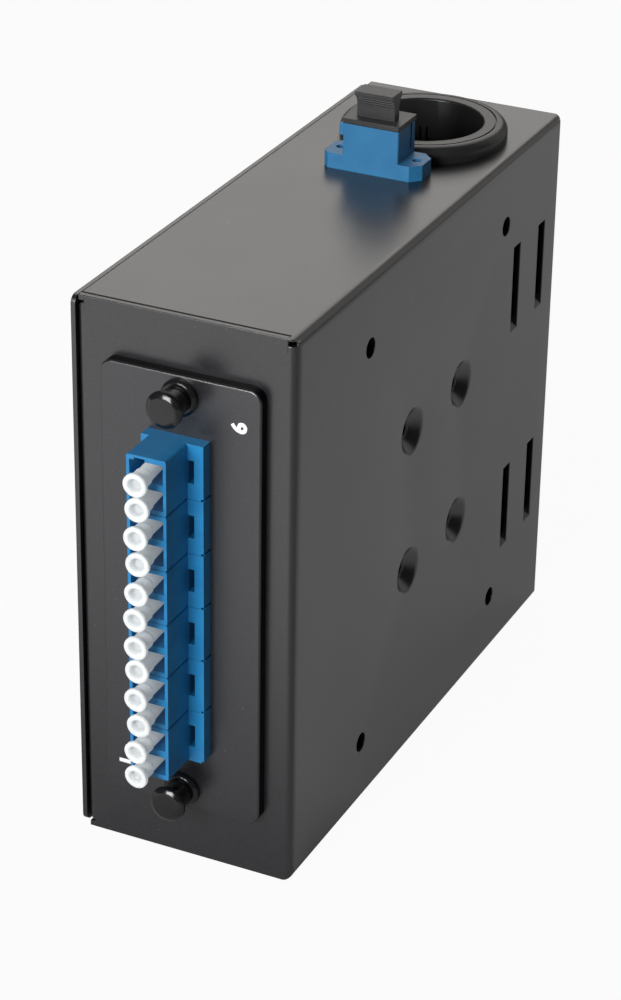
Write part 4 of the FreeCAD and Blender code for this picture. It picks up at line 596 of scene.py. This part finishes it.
def coat_band(name, run, section, finish):
    """Carries a closed section (outward, height) along a run: point = place + outward * direction,
    and no lower than the rounded underside, a circle of the bend radius past the bend's start."""
    places, directions = run
    section = np.array(section)
    flat = places[:, None] + section[None, :, :1] * directions[:, None]
    past_bend = np.clip(places[:, 0] - BEND_X, 0, BEND_RADIUS)
    underside = BEND_RADIUS - np.sqrt(BEND_RADIUS ** 2 - past_bend ** 2)
    heights = np.maximum(section[None, :, 1:], underside[:, None, None])
    points = np.concatenate([flat, heights], axis=-1).reshape(-1, 3)
    count = len(section)
    i, j = np.meshgrid(np.arange(len(places) - 1), np.arange(count), indexing="ij")
    k = (j + 1) % count
    quads = np.stack([i * count + j, i * count + k, (i + 1) * count + k, (i + 1) * count + j], -1)
    last = (len(places) - 1) * count
    ends = [list(range(count))[::-1], list(range(last, last + count))]
    mesh = bpy.data.meshes.new(name)
    mesh.from_pydata(points.tolist(), [], quads.reshape(-1, 4).tolist() + ends)
    mesh.update()
    mesh.materials.append(finish)
    band = bpy.data.objects.new(name, mesh)
    bpy.context.scene.collection.objects.link(band)
    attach(band, "housing")
    return outward(band)

# %% Coat the edges of the front panel
PANEL_TOP = 135.0 * MM
PANEL_LEFT, TOP_LEFT = -23.7 * MM, -25.0 * MM
SHEET = 1.2 * MM
PROUD, SEAM_PROUD = 0.03 * MM, 0.02 * MM
LIP_LOW, FOOT_HIGH, FADE_HEIGHT = 133.2 * MM, 1.9 * MM, 3.0 * MM
ROOT, LIP_ROOT, SEAM_ROOT = 0.6 * MM, 0.4 * MM, 0.1 * MM
LIP_BEVEL = 0.05 * MM
SEAM_FRONT, SEAM_BACK = SHEET + 0.02 * MM, SHEET + 0.65 * MM
FOOT_BEND_DEGREES = 75

edge_paint = powder_coat("edge_paint", COAT_DARK, COAT_LIGHT, 0.30, 0.5 * MM)
# The seam band is painted shade: a near-black matt strip where the gap behind the lip lies in shade.
seam_painted_shade = powder_coat("seam_painted_shade", colour(11, 11, 12), colour(13, 13, 14), 0.5, 0.01 * MM,
                        gloss=PAINTED_SHADE_GLOSS, specks=0.0)
top_lip = [(PROUD, LIP_LOW), (PROUD, PANEL_TOP - LIP_BEVEL), (-LIP_BEVEL, PANEL_TOP + PROUD),
           (-SHEET, PANEL_TOP + PROUD), (-SHEET, PANEL_TOP - LIP_ROOT), (-ROOT, PANEL_TOP - LIP_ROOT),
           (-ROOT, LIP_LOW - FADE_HEIGHT), (-PROUD, LIP_LOW - FADE_HEIGHT)]
foot = [(PROUD, 0), (PROUD, FOOT_HIGH), (-PROUD, FOOT_HIGH + FADE_HEIGHT),
        (-ROOT, FOOT_HIGH + FADE_HEIGHT), (-ROOT, 0)]
seam = [(-SEAM_FRONT, PANEL_TOP - SEAM_ROOT), (-SEAM_FRONT, PANEL_TOP + SEAM_PROUD),
        (-SEAM_BACK, PANEL_TOP + SEAM_PROUD), (-SEAM_BACK, PANEL_TOP - SEAM_ROOT)]
bands = [coat_band("front_panel_lip", along_front(PANEL_LEFT, 0), top_lip, edge_paint),
         coat_band("front_panel_foot", along_front(PANEL_LEFT, FOOT_BEND_DEGREES), foot, edge_paint),
         coat_band("top_seam_painted_shade", along_front(TOP_LEFT, 0), seam, seam_painted_shade)]
print("three bands of", [round(volume, 2) for volume in bands], "mm3")

# %% [markdown]
# ## Floor and light
# The box stands on a plain pale floor. A floor that is lit until it looks white would wash out
# the box too. So the floor's own colour is a middle grey, which keeps the shadow, and a share
# of plain white is mixed in for rays that come straight from the camera.
#
# The front of the box mirrors the floor before it, and is darker towards its foot. So the
# floor, which is white to the eye, gives mirrored rays a painted reflection: white far off, fading to painted
# shade near the box.

# %% Lay the floor
FLOOR_HALF = 3.0
floor_mesh = bpy.data.meshes.new("floor")
floor_mesh.from_pydata([(-FLOOR_HALF, -FLOOR_HALF, 0), (FLOOR_HALF, -FLOOR_HALF, 0),
                        (FLOOR_HALF, FLOOR_HALF, 0), (-FLOOR_HALF, FLOOR_HALF, 0)], [], [(0, 1, 2, 3)])
floor = bpy.data.objects.new("floor", floor_mesh)
bpy.context.scene.collection.objects.link(floor)
floor_finish, floor_tree, floor_shader, floor_place = new_finish("pale_floor")
floor_shader.inputs["Base Color"].default_value = (0.45, 0.45, 0.45, 1.0)
floor_shader.inputs["Roughness"].default_value = 0.9
floor_shader.inputs["Specular IOR Level"].default_value = 0.1
SEEN_WHITE = 0.95
# Shares of white in the painted reflection, near the box and far from it: it fades to painted shade near the
# box.
MIRRORED_BEFORE = (0.14, 1.0)
MIRRORED_BESIDE = (0.26, 0.38)
FADE_LENGTH = 0.12
LEFT_FADE, AHEAD_FADE, BESIDE_FADE, AFTER_FADE = 0.06, 0.02, 0.10, 0.06

seen = floor_tree.nodes.new("ShaderNodeLightPath")
spot = add_node(floor_tree, "ShaderNodeSeparateXYZ", {0: floor_place})
front_edge, right_edge = float(cad_low[1]), float(cad_high[0])
before = ramp(floor_tree, spot.outputs["Y"], front_edge, front_edge - FADE_LENGTH, *MIRRORED_BEFORE)
left = ramp(floor_tree, spot.outputs["X"], right_edge, right_edge + LEFT_FADE, 1.0, 0.0)
ahead = ramp(floor_tree, spot.outputs["Y"], front_edge, front_edge + AHEAD_FADE, 1.0, 0.0)
beside = ramp(floor_tree, spot.outputs["X"], right_edge, right_edge + BESIDE_FADE, *MIRRORED_BESIDE)
after = ramp(floor_tree, spot.outputs["Y"], front_edge, front_edge + AFTER_FADE)
# The painted reflection: white for mirrored rays, faded to painted shade before and beside the box.
painted_reflection = add_node(floor_tree, "ShaderNodeMath",
                    {0: times(floor_tree, times(floor_tree, before, left), ahead),
                     1: times(floor_tree, beside, after)}, operation="ADD")
bent_ray = add_node(floor_tree, "ShaderNodeMath",
                    {0: seen.outputs["Is Glossy Ray"], 1: seen.outputs["Is Transmission Ray"]},
                    operation="MAXIMUM")
straight = times(floor_tree, seen.outputs["Is Camera Ray"], SEEN_WHITE)
reflected = times(floor_tree, bent_ray.outputs[0], painted_reflection.outputs[0])
white_share = add_node(floor_tree, "ShaderNodeMath", {0: straight, 1: reflected}, operation="MAXIMUM")
white = add_node(floor_tree, "ShaderNodeEmission", {"Color": (1, 1, 1, 1), "Strength": 1.0})
floor_mix = add_node(floor_tree, "ShaderNodeMixShader",
                     {0: white_share.outputs[0], 1: floor_shader.outputs[0], 2: white.outputs[0]})
floor_tree.links.new(floor_mix.outputs[0], floor_tree.nodes["Material Output"].inputs["Surface"])
floor_mesh.materials.append(floor_finish)
print("floor of", 2 * FLOOR_HALF, "m with a white share of", SEEN_WHITE, "for the eye")

# %% [markdown]
# ## Lamps
# The picture's light is a large soft one in front, a little to the left, which lights the
# faces of the adapters, and a bright backdrop behind, whose sheen lies on the top of the box.
# A sun would give hard shadows, so area lamps make both, and a dim even sky fills the rest.

# %% Hang the lamps
def lamp(name, watts, size, round_degrees, up_degrees, distance, tint=(1, 1, 1)):
    """A square area lamp that looks at the middle of the box from a direction and distance."""
    middle = (cad_low + cad_high) / 2
    a, e = math.radians(round_degrees), math.radians(up_degrees)
    away = Vector((math.sin(a) * math.cos(e), -math.cos(a) * math.cos(e), math.sin(e)))
    data = bpy.data.lights.new(name, "AREA")
    data.energy, data.size, data.color = watts, size, tint
    item = bpy.data.objects.new(name, data)
    item.location = middle + away * distance
    item.rotation_mode = "QUATERNION"
    item.rotation_quaternion = (-away).to_track_quat("-Z", "Y")
    bpy.context.scene.collection.objects.link(item)


lamp("front softbox", 13.0, 0.5, -7, 22, 1.1)
lamp("rear backdrop", 6.8, 1.2, 205, 38, 1.4, (1.0, 0.97, 0.93))
lamp("side backdrop", 1.5, 1.0, 148, 24, 1.4, (1.0, 0.97, 0.93))
world = bpy.data.worlds.new("studio")
world.use_nodes = True
world.node_tree.nodes["Background"].inputs["Color"].default_value = (1, 1, 1, 1)
world.node_tree.nodes["Background"].inputs["Strength"].default_value = 0.06
bpy.context.scene.world = world
bpy.context.scene.view_settings.view_transform = "Standard"
print("three lamps and a dim sky")
